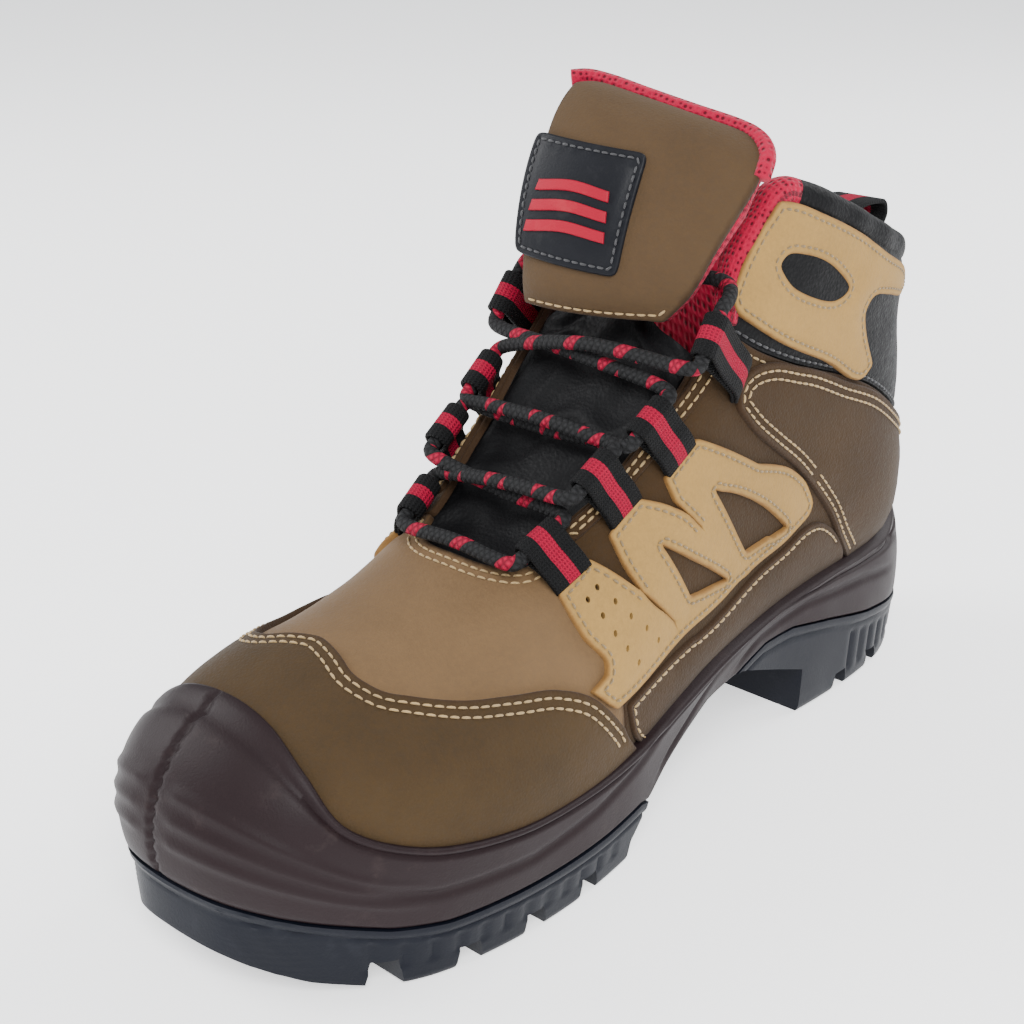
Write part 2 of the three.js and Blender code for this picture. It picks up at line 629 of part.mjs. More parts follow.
const LABEL_BOX = [[1.2, -0.62], [3.35, -0.56], [3.35, 0.46], [1.2, 0.46]];
const EMBLEM_BOX = [[1.95, -0.5], [2.65, -0.47], [2.65, 0.36], [1.95, 0.36]];
const LABELLED = [GAP, GAP + LABEL];
const EMBLEMED = [LABELLED[1] + GAP, LABELLED[1] + GAP + EMBLEM];

// ---------------------------------------------------------------- lace loops and lace

// Where each lateral loop folds round the lace, and where it is sewn under its panel's edge: [u, v].
// The top loop stands furthest off the leather.
const LOOPS = [
  { fold: [7.12, 0.128], tail: [7.1, 0.192], lift: 0.2 },
  { fold: [8.26, 0.152], tail: [8.28, 0.222], lift: 3.4 },
  { fold: [9.46, 0.19], tail: [9.5, 0.272], lift: 1.4 },
  { fold: [11.42, 0.222], tail: [11.72, 0.334], lift: 5 },
];
const LOOP_INNER = LACE / 2 + LOOP_CLEARANCE;
const LOOP_OUTER = LOOP_INNER + LOOP_WALL;
const LOOP_SEAT = OVER[1] + GAP; // the loops lie on the eyestay

function loopFrame({ fold, tail, lift }, side) {
  const seat = (u, v, h) => upper.at(u, side * v, h);
  const center = seat(...fold, LOOP_SEAT + LOOP_OUTER + lift);
  const foot = seat(...tail, LOOP_SEAT + LOOP_WALL + 0.4);
  const back = foot.clone().sub(center);
  const width = seat(fold[0] + 0.3, fold[1], 0).sub(seat(fold[0] - 0.3, fold[1], 0));
  width.addScaledVector(back, -width.dot(back) / back.lengthSq()).normalize();
  const length = back.length();
  return { center, back: back.normalize(), width, length };
}

// Webbing folded round the lace: a drop-shaped ring on a flat tail.
function laceLoop(frame, side) {
  const { center, back, width, length } = frame;
  const outline = [];
  const corners = 12;
  for (let k = 0; k <= corners; k++) {
    const angle = Math.PI * (0.42 + (1.16 * k) / corners);
    outline.push([LOOP_OUTER * Math.cos(angle), LOOP_OUTER * Math.sin(angle)]);
  }
  outline.push([length, -LOOP_WALL], [length, LOOP_WALL]);
  const hole = [];
  for (let k = 0; k < corners; k++) {
    const angle = (-2 * Math.PI * k) / corners;
    hole.push([LOOP_INNER * Math.cos(angle), LOOP_INNER * Math.sin(angle)]);
  }
  const geometry = prism(outline, -LOOP_WIDTH / 2, LOOP_WIDTH / 2, [hole]);
  const out = width.clone().cross(back);
  const frameMatrix = new THREE.Matrix4().makeBasis(back, out, width);
  if (frameMatrix.determinant() < 0) throw new Error('a lace loop is mirrored');
  frameMatrix.setPosition(center);
  return solid(geometry.applyMatrix4(frameMatrix));
}

const lateralFrames = LOOPS.map((loop) => loopFrame(loop, 1));
const medialFrames = LOOPS.map((loop) => loopFrame(loop, -1));

// The lace leaves a loop at its upper (+1) or lower (-1) mouth, and turns once it is clear of it.
const MOUTH = LOOP_WIDTH / 2 + 1;
const TURN = MOUTH + LACE / 2;
const leaving = ({ center, width }, way) => [MOUTH, TURN].map((reach) => center.clone().addScaledVector(width, way * reach));

const smooth = (points, pieces) => new THREE.CatmullRomCurve3(points, false, 'centripetal').getPoints(pieces);

// From one loop to another, lifted in the middle to pass over the tongue and over or under its partner.
function strand(from, fromWay, to, toWay, lift) {
  const [start, turned] = leaving(from, fromWay);
  const [end, turning] = leaving(to, toWay);
  const outward = new THREE.Vector3(0, -0.6, 0.8);
  const middle = turned.clone().add(turning).multiplyScalar(0.5).addScaledVector(outward, lift);
  return smooth([start, turned, middle, turning, end], 8);
}

const LACE_LIFT = LACE / 2 + 0.4;
const TONGUE_LIFT = 4;

function laceRoute() {
  const [l, m] = [lateralFrames, medialFrames];
  const rising = (first, second, lifts) => [
    ...strand(first[0], 1, second[1], -1, lifts[0]),
    ...strand(second[1], 1, first[2], -1, lifts[1]),
    ...strand(first[2], 1, second[3], -1, lifts[2]),
  ];
  const lateralEnd = rising(m, l, [LACE_LIFT, -LACE_LIFT, TONGUE_LIFT + LACE_LIFT]);
  const medialEnd = rising(l, m, [-LACE_LIFT, LACE_LIFT, TONGUE_LIFT - LACE_LIFT]);
  const lateralTuck = [place(36.6, 134.5, 151), place(33, 129.5, 153.5), place(26, 128, 154), place(19, 127.6, 153)];
  const medialTuck = [place(-36.8, 135.2, 151), place(-34.5, 131, 154), place(-29, 129.8, 155), place(-21, 129.4, 154)];
  const lateralTip = smooth([...leaving(l[3], 1), ...lateralTuck], 8);
  const medialTip = smooth([...leaving(m[3], 1), ...medialTuck], 8);
  const bar = strand(l[0], -1, m[0], -1, 1);
  return [...medialTip.reverse(), ...medialEnd.reverse(), ...bar, ...lateralEnd, ...lateralTip];
}

// A path that runs straight from point to point, so that a tube along it has one ring at each point.
class PointPath extends THREE.Curve {
  constructor(points) {
    super();
    this.points = points;
  }

  getPoint(t) {
    const along = clamp01(t) * (this.points.length - 1);
    const k = Math.min(Math.floor(along), this.points.length - 2);
    return this.points[k].clone().lerp(this.points[k + 1], along - k);
  }

  getPointAt(t) {
    return this.getPoint(t);
  }

  getTangentAt(t) {
    const step = 0.5 / (this.points.length - 1);
    return this.getPoint(t + step).sub(this.getPoint(t - step)).normalize();
  }
}

function lace(route) {
  const section = [];
  const sides = 8;
  for (let k = 0; k < sides; k++) {
    const angle = (2 * Math.PI * k) / sides;
    section.push(new THREE.Vector2((LACE / 2) * Math.cos(angle), (LACE / 2) * Math.sin(angle)));
  }
  const settings = { steps: route.length - 1, extrudePath: new PointPath(route) };
  return solid(new THREE.ExtrudeGeometry(new THREE.Shape(section), settings));
}

const AGLET_LENGTH = 12;

// The stiff tip that carries on from a lace end.
function aglet(end, before) {
  const direction = end.clone().sub(before).normalize();
  const geometry = new THREE.CylinderGeometry(LACE / 2, LACE / 2, AGLET_LENGTH, 8);
  geometry.applyQuaternion(new THREE.Quaternion().setFromUnitVectors(new THREE.Vector3(0, 1, 0), direction));
  const center = end.clone().addScaledVector(direction, GAP + AGLET_LENGTH / 2);
  return solid(geometry.translate(...center.toArray()));
}

// ---------------------------------------------------------------- pull loop at the heel

function pullLoop() {
  const rimTop = upper.at(19, 1, 0).z;
  const outer = upper.at(18, 1, GAP).y + 0.1;
  const inner = upper.at(18.9, 1, LINED[0] + COLLAR_SHIFT).y - 2.6;
  const foot = { outer: rimTop - 24, inner: rimTop - 20 };
  const crown = rimTop + PULL_RISE;
  const radius = 5;
  const arch = (grow) => {
    const [back, front, top] = [outer + grow, inner - grow, crown + grow];
    const bend = radius + grow;
    const corner = (y, way, from) => [0, 1, 2, 3].map((k) => {
      const angle = from + (way * Math.PI * k) / 6;
      return [y + bend * Math.cos(angle), top - bend + bend * Math.sin(angle)];
    });
    return [...corner(back - bend, 1, 0), ...corner(front + bend, 1, Math.PI / 2)];
  };
  const outside = arch(PULL_WALL);
  const inside = arch(0);
  const outline = [
    [outer + PULL_WALL, foot.outer], ...outside, [inner - PULL_WALL, foot.inner], [inner, foot.inner],
    ...inside.reverse(), [outer, foot.outer],
  ];
  const across = new THREE.Matrix4().set(0, 0, 1, 0, 1, 0, 0, 0, 0, 1, 0, 0, 0, 0, 0, 1);
  return solid(prism(outline, -PULL_WIDTH / 2, PULL_WIDTH / 2).applyMatrix4(across));
}

// ---------------------------------------------------------------- sole

// Stations round the sole, toe first, over the lateral side to the heel and back over the medial side:
// outsole edge [a, x], midsole top edge on the upper [u, v] and how far it stands off there, and how far
// the wall between them bulges.
const SOLE_STATIONS = [
  [304.5, -8, 2.62, 0, 3.6, 12],
  [302, 10, 2.58, 0.12, 3.6, 11.5],
  [294, 24, 2.5, 0.26, 3.6, 9.5],
  [280, 36, 2.7, 0.41, 3.6, 6],
  [262, 46, 3.6, 0.49, 3.5, 3],
  [240, 51, 4.8, 0.515, 3.3, 1.8],
  [214, 52.3, 5.93, 0.54, 3.2, 0.8],
  [186, 49.3, 7.2, 0.58, 4, 0.4],
  [160, 43, 8.28, 0.632, 4.8, 0],
  [130, 37.5, 9.44, 0.675, 5.2, 0],
  [100, 36, 10.55, 0.685, 5, 0],
  [70, 37, 11.52, 0.71, 5.2, 1],
  [45, 36.5, 12.26, 0.75, 5.4, 1.5],
  [24, 33, 12.88, 0.8, 5.4, 2],
  [9, 25, 13.46, 0.863, 5, 2],
  [2, 13, 14.1, 0.93, 4.4, 2],
  [0, 0, 14.4, 1, 4, 2],
  [2, -13, 14.1, 1.07, 4.4, 2],
  [9, -25, 13.48, 1.138, 5, 2],
  [24, -33, 12.9, 1.2, 5.4, 2],
  [45, -36, 12.28, 1.252, 5.4, 1.5],
  [70, -36, 11.54, 1.295, 5.2, 1],
  [100, -34, 10.58, 1.325, 5, 0],
  [130, -34, 9.48, 1.345, 4.7, 0],
  [160, -38, 8.33, 1.395, 4, 0],
  [185, -44, 7.27, 1.434, 3.6, 0.4],
  [210, -50, 6.02, 1.467, 3.3, 0.8],
  [236, -51, 4.84, 1.486, 3.3, 1.8],
  [260, -49, 3.82, 1.5, 3.5, 3],
  [280, -43, 2.9, 1.56, 3.6, 6],
  [294, -34, 2.62, 1.69, 3.6, 9.5],
  [302.5, -22, 2.62, 1.84, 3.6, 11.5],
];

// Height of the seam between outsole and midsole, [a, z], heel to toe.
const SEAM_LINE = [
  [-20, 18], [0, 18], [20, 20], [45, 24], [70, 30], [90, 34], [105, 34], [122, 29], [140, 22], [160, 14],
  [172, 13], [182, 16], [200, 15.5], [235, 16], [258, 16.5], [272, 18.5], [289, 23.5], [306, 29], [330, 30],
];
// Underside of the arch, from the heel breast to the ball.
const ARCH_LINE = [[82, 16], [118, 29.5], [140, 29], [155, 24.5], [167, 19.5], [178, 14], [186, 6], [189, -5]];
const ARCH_CUT = [[82, -5], ...ARCH_LINE];
const TOE_SPRING = [[256, -10], [262, 0], [276, 1.6], [288, 5], [298, 9.5], [306, 14], [330, 24], [330, -10]];
// Where panels on the base layer stand in the midsole: all of one side, down to the turned-in edge
// and just past the middle of the heel.
const SEAT_BAND = [
  [-0.3, 0], [14.95, 0], [14.95, 1.02], [12.6, 1.02], [12.3, 0.93], [11.4, 0.88], [10, 0.84], [3, 0.84], [2, 0.87],
  [1, 0.95], [0.6, 1.02], [-0.3, 1.02],
];
const SOLE_GAP = GAP / (COLLAR_HEIGHT / DRAWN_HEIGHT);

const raise = (line, by) => line.map(([a, z]) => [a, z + by]);

// The stations as smooth closed rings, three points to two stations.
function soleRings() {
  const curve = (pick) => new THREE.CatmullRomCurve3(SOLE_STATIONS.map(pick), true, 'centripetal');
  const count = SOLE_STATIONS.length * 1.5;
  const spaced = (pick) => {
    const path = curve(pick);
    return Array.from({ length: count }, (_, k) => path.getPoint(k / count));
  };
  const seamHeight = (a) => {
    const k = SEAM_LINE.findIndex(([end]) => end >= a);
    const [[a0, z0], [a1, z1]] = [SEAM_LINE[k - 1], SEAM_LINE[k]];
    return lerp(z0, z1, (a - a0) / (a1 - a0));
  };
  const wallFoot = (a) => Math.max(seamHeight(a), 14) - 4;
  const edge = spaced(([a, x]) => place(x, a, wallFoot(a)));
  const top = spaced(([, , u, v, lip]) => lastPoint(u, v).addScaledVector(upper.normal(u, v), lip));
  const swell = spaced(([, , , , , bulge]) => new THREE.Vector3(bulge, 0, 0));
  const outward = (k) => {
    const along = edge[(k + 1) % count].clone().sub(edge[(k + count - 1) % count]);
    return new THREE.Vector3(along.y, -along.x, 0).normalize();
  };
  const inset = (by, z) => edge.map((p, k) => p.clone().addScaledVector(outward(k), -by).setZ(z));
  const wall = (t) => edge.map((p, k) => {
    const control = p.clone().lerp(top[k], 0.1).addScaledVector(outward(k), swell[k].x);
    control.z = lerp(p.z, top[k].z, 0.68);
    const low = p.clone().lerp(control, t);
    return low.lerp(control.clone().lerp(top[k], t), t);
  });
  const sunk = top.map((p, k) => p.clone().addScaledVector(outward(k), -9).setZ(p.z - 2));
  return { inset, wall, sunk };
}

function soleParts() {
  const { inset, wall, sunk } = soleRings();
  const lowest = upZ(-1);
  const block = loft([
    inset(2.4, lowest), inset(0.8, upZ(6)), wall(0), wall(0.35), wall(0.65), wall(0.85), wall(1), sunk,
  ]);
  const wide = [-80, 80];
  const ground = box([0, 0, -50], [300, 500, 100]);
  const shaped = block.subtract(ground).subtract(sideBar(TOE_SPRING, ...wide));
  const arch = sideBar(ARCH_CUT, ...wide);
  const above = (by) => sideBar([...raise(SEAM_LINE, by), [330, 300], [-20, 300]], ...wide);
  const below = sideBar([...SEAM_LINE, [330, -60], [-20, -60]], ...wide);

  const bridgeLine = [[84, 16.75], ...ARCH_LINE.slice(1, -2), [184, 9]];
  const bridgeBar = (by) => [...raise(bridgeLine, -by), ...raise(bridgeLine, BRIDGE + by).reverse()];
  const inner = loft([inset(BRIDGE_INSET, lowest), inset(BRIDGE_INSET, upZ(60))]);
  const innerWide = loft([inset(BRIDGE_INSET - GAP, lowest), inset(BRIDGE_INSET - GAP, upZ(60))]);
  const bridge = inner.intersect(sideBar(bridgeBar(0), ...wide));
  const bridgeRoom = innerWide.intersect(sideBar(bridgeBar(SOLE_GAP), ...wide));

  const shankRoom = upper.panel(shankOutline(0.06), [-1, SHANKED[1] + GAP]);
  const seats = [SEAT_BAND, mirror(SEAT_BAND)].map((band) => upper.panel(band, [-1, OVER[1] + GAP]));
  const outsole = shaped.intersect(below).subtract(arch).add(bridge).subtract(treadGrooves());
  const midsole = shaped
    .intersect(above(SOLE_GAP)).subtract(arch).subtract(bridgeRoom)
    .subtract(lastSolid(GAP)).subtract(seats[0]).subtract(seats[1]).subtract(shankRoom);
  return { outsole, midsole };
}

// Grooves between the lugs: cross grooves from each edge, and two lengthwise ones.
const CROSS_GROOVES = [14, 36, 58, 207, 229, 251, 273];
const CENTRE_GROOVES = [26, 48, 196, 218, 240, 262];
const CENTRE_STRIP = 15;

function treadGrooves() {
  const grooves = [];
  const depth = LUG_DEPTH + 10;
  const floor = (a) => LUG_DEPTH + Math.max(0, (a - 256) * 0.14);
  for (const side of [-1, 1]) {
    for (const a of CROSS_GROOVES) {
      const x = side * (CENTRE_STRIP + 40);
      grooves.push(box([x, alongY(a), floor(a) - depth / 2], [80, GROOVE, depth]));
    }
    const [from, to] = [196, 266];
    const x = side * CENTRE_STRIP;
    grooves.push(box([x, alongY((from + to) / 2), LUG_DEPTH - depth / 2], [GROOVE, to - from, depth]));
    grooves.push(box([x, alongY(34), LUG_DEPTH - depth / 2], [GROOVE, 52, depth]));
  }
  for (const a of CENTRE_GROOVES) {
    grooves.push(box([0, alongY(a), floor(a) - depth / 2], [2 * CENTRE_STRIP, GROOVE, depth]));
  }
  return grooves.reduce((all, groove) => all.add(groove));
}

// ---------------------------------------------------------------- the boot

const boot = new THREE.Group();

const COLOURS = {
  outsole: [0x2d323e, 0.75, 0], midsole: [0x4b3a38, 0.6, 0], steel: [0x9a9da0, 0.35, 0.9],
  board: [0xb9a684, 0.9, 0], textile: [0x33343a, 0.9, 0], footbed: [0x2b2b30, 0.95, 0],
  vamp: [0x8c7355, 0.8, 0], guard: [0x6e5837, 0.8, 0], quarter: [0x5f4830, 0.8, 0],
  tan: [0xbe9b5a, 0.85, 0], black: [0x1f1f22, 0.6, 0], foam: [0x3a3a3c, 0.95, 0],
  red: [0xb91a3c, 0.9, 0], webbing: [0x17171a, 0.8, 0], rubber: [0x202228, 0.5, 0],
};

function add(name, piece, colour) {
  const [color, roughness, metalness] = COLOURS[colour];
  const material = new THREE.MeshStandardMaterial({ color, roughness, metalness });
  const mesh = new THREE.Mesh(geometryOf(piece), material);
  mesh.name = name;
  boot.add(mesh);
}

const { outsole, midsole } = soleParts();
add('outsole', outsole, 'outsole');
add('midsole', midsole, 'midsole');
add('puncture_plate', puncturePlate(), 'textile');
add('shank', upper.panel(shankOutline(0), SHANKED), 'steel');
add('insole_board', insoleBoard(), 'board');
add('footbed', footbed(), 'footbed');
add('steel_toe_cap', toeCap(), 'steel');
add('heel_stiffener', heelStiffener(), 'board');

add('vamp', vamp, 'vamp');
add('toe_guard', toeGuard, 'guard');
add('vamp_lining', upper.panel(bothSides(VAMP_LINING), LINED), 'textile');
add('quarter_lining', quarterLining(), 'red');

const sides = [['lateral', (line) => line], ['medial', mirror]];
for (const [side, turned] of sides) {
  add(`quarter_${side}`, drawnPanel(turned(QUARTER), BASE), 'quarter');
  add(`foxing_${side}`, upper.panel(turned(FOXING), OVER), 'quarter');
  add(`side_overlay_${side}`, upper.panel(turned(SIDE_OVERLAY), OVER, SIDE_WINDOWS.map(turned)), 'tan');
  add(`eyestay_${side}`, upper.panel(turned(EYESTAY), OVER), 'quarter');
  add(`collar_panel_${side}`, upper.panel(turned(COLLAR_PANEL), OVER, [turned(COLLAR_SLOT)]), 'tan');
}
add('counter_overlay', drawnPanel(roundTheBack(COUNTER), OVER), 'quarter');
add('collar_leather', drawnPanel(roundTheBack(COLLAR), BASE), 'black');
add('collar_foam', upper.panel(roundTheBack(FOAM), FOAMED), 'foam');

add('tongue_gusset', gusset(), 'black');
add('tongue_pad', tonguePad(), 'vamp');
add('tongue_lining', tongueLining(), 'red');
add('tongue_label', tongue.panel(LABEL_BOX, LABELLED), 'rubber');
add('label_emblem', tongue.panel(EMBLEM_BOX, EMBLEMED), 'red');

LOOPS.forEach((_, k) => {
  add(`lace_loop_lateral_${k + 1}`, laceLoop(lateralFrames[k]), 'webbing');
  add(`lace_loop_medial_${k + 1}`, laceLoop(medialFrames[k]), 'webbing');
});

const route = laceRoute();
add('lace', lace(route), 'webbing');
add('aglet_lateral', aglet(route.at(-1), route.at(-2)), 'rubber');
add('aglet_medial', aglet(route[0], route[1]), 'rubber');
add('pull_loop', pullLoop(), 'webbing');

export default boot;
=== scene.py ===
"""Steel toe work boot, left foot: leather panels, stitching, padding, laces and moulded sole.

Millimetres are used for all working sizes and turned into metres when a mesh is made.
"""
import math
import bpy
import numpy as np
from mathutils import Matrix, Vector, noise
from mathutils.geometry import delaunay_2d_cdt
from mathutils.kdtree import KDTree


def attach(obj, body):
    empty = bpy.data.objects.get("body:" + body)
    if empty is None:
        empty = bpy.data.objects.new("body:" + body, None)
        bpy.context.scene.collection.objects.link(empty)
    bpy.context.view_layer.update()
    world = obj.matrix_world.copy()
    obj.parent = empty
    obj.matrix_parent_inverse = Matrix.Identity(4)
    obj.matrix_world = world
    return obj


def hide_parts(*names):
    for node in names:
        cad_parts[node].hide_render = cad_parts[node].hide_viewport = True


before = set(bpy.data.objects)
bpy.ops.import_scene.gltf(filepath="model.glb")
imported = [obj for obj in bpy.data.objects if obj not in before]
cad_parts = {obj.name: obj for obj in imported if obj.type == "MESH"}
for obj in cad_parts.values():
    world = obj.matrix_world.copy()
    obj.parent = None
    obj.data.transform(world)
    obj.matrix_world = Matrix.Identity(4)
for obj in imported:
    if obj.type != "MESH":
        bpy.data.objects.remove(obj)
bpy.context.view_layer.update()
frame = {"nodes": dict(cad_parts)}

bl_info = {
    "name": "Work Boot",
    "version": (1, 0, 0),
    "blender": (4, 5, 0),
    "location": "View3D > Sidebar > Boot",
    "description": "Builds a lace-up safety boot from curved leather panels on a moulded sole",
    "category": "Add Mesh",
}

MM = 0.001
SIZES = {}
LENGTH_NAMES = ("lace_width", "loop_width", "pull_width", "stitch_pitch", "stitch_length")
HALF_LENGTH = 153.0

# ---------------------------------------------------------------- the sheet that the upper lies on

# Instep point (a, z), sole point (a, z), lateral and medial half widths, middle x, roundness above and
# below, widest point as a share of the height. a is the distance forward from the heel back.
STATIONS = np.array([
    [297, 43, 297, 43, 0, 0, -7, 2.1, 2.6, 0.45], [295, 55, 295, 32, 19, 18, -6, 2.1, 2.6, 0.45],
    [288, 64, 288, 25, 32, 29, -5, 2.1, 3.0, 0.42], [276, 72, 276, 21, 42, 37, -3, 2.1, 3.2, 0.38],
    [258, 77, 258, 19, 48, 43, -1, 2.1, 3.4, 0.36], [236, 79, 236, 18, 51, 46, 0, 2.1, 3.4, 0.36],
    [214, 84, 212, 18, 51, 46, 0, 2.2, 3.4, 0.36], [197, 92, 190, 20, 49, 44, 0, 2.4, 3.4, 0.36],
    [181, 106, 166, 27, 45.5, 41, 0, 2.6, 3.4, 0.32], [167, 120, 140, 35, 43, 39, 0, 2.8, 3.4, 0.28],
    [157, 134, 112, 37, 41, 37, 0, 3.0, 3.4, 0.32], [151, 146, 80, 37.5, 39.5, 36, 0, 3.0, 3.4, 0.37],
    [148, 153, 45, 37, 38, 36, 0, 3.0, 3.3, 0.42], [145, 157, 16, 41, 38, 36, 0, 2.9, 3.0, 0.46],
    [142, 160, 6, 57, 38, 36, 0, 2.8, 2.6, 0.49], [139, 164, 6, 78, 38, 36.5, 0, 2.7, 2.3, 0.5],
    [135, 169, 10, 98, 38, 37.5, 0, 2.6, 2.2, 0.5], [131, 174, 14, 116, 38.5, 38, 0, 2.6, 2.2, 0.5],
    [126, 180, 13, 132, 39, 39, 0, 2.5, 2.2, 0.5], [120, 187, 14, 147, 38, 38, 0, 2.5, 2.2, 0.5],
], float)
LAST = len(STATIONS) - 1


def spline_rows(table, u):
    """Rows of a table at any u, on a smooth curve; table has one ghost row at each end."""
    k = np.clip(np.floor(u).astype(int), 0, len(table) - 4)
    t = (u - k)[..., None]
    p0, p1, p2, p3 = table[k], table[k + 1], table[k + 2], table[k + 3]
    return 0.5 * (2 * p1 + (p2 - p0) * t + (2 * p0 - 5 * p1 + 4 * p2 - p3) * t ** 2
                  + (3 * p1 - p0 - 3 * p2 + p3) * t ** 3)


def with_ghosts():
    """The stations with one more row before the toe and one above the collar."""
    before = STATIONS[1].copy()
    before[:4] = STATIONS[1][[2, 3, 0, 1]]
    before[4:6] *= -1
    return np.vstack([before, STATIONS, 2 * STATIONS[-1] - STATIONS[-2]])


STATION_TABLE = with_ghosts()


class Surface:
    """A curved sheet with a nearly even flat layout, q = (along, across) in millimetres."""

    def __init__(self, point, along, across):
        self.point_uv = point
        self.along = np.asarray(along, float)
        self.across_v = np.linspace(-1, 1, len(across))
        self.across_w = np.asarray(across, float)
        self.half = self.across_w[-1]

    def to_flat(self, uv):
        uv = np.asarray(uv, float)
        u = np.interp(uv[..., 0], np.arange(len(self.along)), self.along)
        low = np.minimum(uv[..., 0], 0) * (self.along[1] - self.along[0])
        turns = np.floor((uv[..., 1] + 1) / 2)
        w = np.interp(uv[..., 1] - 2 * turns, self.across_v, self.across_w) + 2 * self.half * turns
        return np.stack([u + low, w], -1)

    def to_uv(self, q):
        u = np.interp(q[..., 0], self.along, np.arange(len(self.along)))
        turns = np.floor((q[..., 1] + self.half) / (2 * self.half))
        v = np.interp(q[..., 1] - 2 * self.half * turns, self.across_w, self.across_v)
        return u, v + 2 * turns

    def point(self, q):
        return self.point_uv(*self.to_uv(np.asarray(q, float)))

    def slopes(self, q, step=0.05):
        q = np.asarray(q, float)
        across = np.array([0.0, step])
        low = np.clip(q[..., :1] - step, self.along[0], None)
        high = np.clip(q[..., :1] + step, None, self.along[-1])
        run = np.maximum(high - low, 1e-6)
        d0 = (self.point(np.concatenate([high, q[..., 1:]],
                                        -1)) - self.point(np.concatenate([low, q[..., 1:]], -1))) / run
        d1 = (self.point(q + across) - self.point(q - across)) / (2 * step)
        return d0, d1

    def normal(self, q):
        d0, d1 = self.slopes(q)
        n = np.cross(d1, d0)
        length = np.linalg.norm(n, axis=-1, keepdims=True)
        return np.where(length < 1e-6, np.array([0.0, -1.0, 0.0]), n / np.maximum(length, 1e-9))

    def place(self, q, h):
        return self.point(q) + self.normal(q) * np.asarray(h)[..., None]


def upper_point(u, v):
    """Point of the upper sheet: u runs from the toe to the collar, v from -1 medial to 1 lateral."""
    u = np.clip(np.asarray(u, float), 0, LAST)
    v = np.asarray(v, float)
    s = spline_rows(STATION_TABLE, u)
    c, sn = np.cos(np.pi * v), np.sin(np.pi * v)
    power = 2 / np.where(c > 0, s[..., 7], s[..., 8])
    rise = np.sign(c) * np.abs(c) ** power
    spread = np.sign(sn) * np.abs(sn) ** power
    share = s[..., 9]
    f = np.where(rise > 0, share + (1 - share) * rise, share + share * rise)
    width = np.where(spread > 0, s[..., 4], s[..., 5])
    a = s[..., 2] + (s[..., 0] - s[..., 2]) * f
    z = s[..., 3] + (s[..., 1] - s[..., 3]) * f
    return np.stack([s[..., 6] + width * spread, HALF_LENGTH - a, z], -1)


def along_upper():
    """How far along the sheet each station is, measured a quarter of the way round."""
    steps = 8
    u = np.linspace(0, LAST, LAST * steps + 1)
    middle = upper_point(u, 0.25 + 0 * u)
    step = np.linalg.norm(np.diff(middle, axis=0), axis=1)
    total = np.concatenate([[0], np.cumsum(step)])
    return total[::steps]


HALF_ROUND = 122.0  # half the way round the sheet, from the instep to the sole


def across_upper():
    """How far round the sheet each v is, in millimetres, as a mean over its length."""
    v = np.linspace(0, 1, 801)
    mean = np.zeros(len(v))
    for u in np.arange(6.0, 17.1, 1.0):
        line = upper_point(u + 0 * v, v)
        mean[1:] += np.cumsum(np.linalg.norm(np.diff(line, axis=0), axis=1)) / 12
    mean *= HALF_ROUND / mean[-1]
    mean = 0.7 * mean + 0.3 * HALF_ROUND * v
    return np.concatenate([-mean[:0:-1], mean])


UPPER = Surface(upper_point, along_upper(), across_upper())

# Centre line of the padded tongue's face: a, z, half width, set-back at the edges.
TONGUE_LINE = np.array([
    [156, 141.5, 24, 4], [158, 153, 28, 7], [155.5, 168, 31.5, 9], [150, 182, 34, 10], [142.5, 193, 35, 10],
    [132, 199.5, 34.5, 9], [121, 201.5, 33, 8],
], float)
TONGUE_MIDDLE, TONGUE_TURN, TONGUE_TILT = -4, 0.17, 0.24
TONGUE_END = len(TONGUE_LINE) - 1
TONGUE_TABLE = np.vstack([TONGUE_LINE[0], TONGUE_LINE, TONGUE_LINE[-1]])


def tongue_point(u, v):
    """Point of the tongue's face: u runs upwards, v from -1 medial to 1 lateral."""
    u = np.clip(np.asarray(u, float), 0, TONGUE_END)
    row = spline_rows(TONGUE_TABLE, u)
    x = row[..., 2] * v
    beyond = np.maximum(np.abs(v) - 0.95, 0)
    a = row[..., 0] - row[..., 3] * (v * v - 1.2 * beyond) - TONGUE_TURN * x
    return np.stack([TONGUE_MIDDLE + x, HALF_LENGTH - a, row[..., 1] - TONGUE_TILT * x * u / TONGUE_END], -1)


TONGUE = Surface(tongue_point, np.arange(TONGUE_END + 1) * 11.5, [-33.0, 0.0, 33.0])

# ---------------------------------------------------------------- lines on a sheet


def run_length(points):
    """How far along a line each of its points is."""
    return np.concatenate([[0], np.cumsum(np.linalg.norm(np.diff(points, axis=0), axis=1))])


def unit(v):
    return v / np.linalg.norm(v)


def unit_rows(vectors):
    return vectors / np.maximum(np.linalg.norm(vectors, axis=-1, keepdims=True), 1e-9)


def round_trip(line):
    """The direction at each point of a closed line, before it is made a unit."""
    return np.roll(line, -1, 0) - np.roll(line, 1, 0)


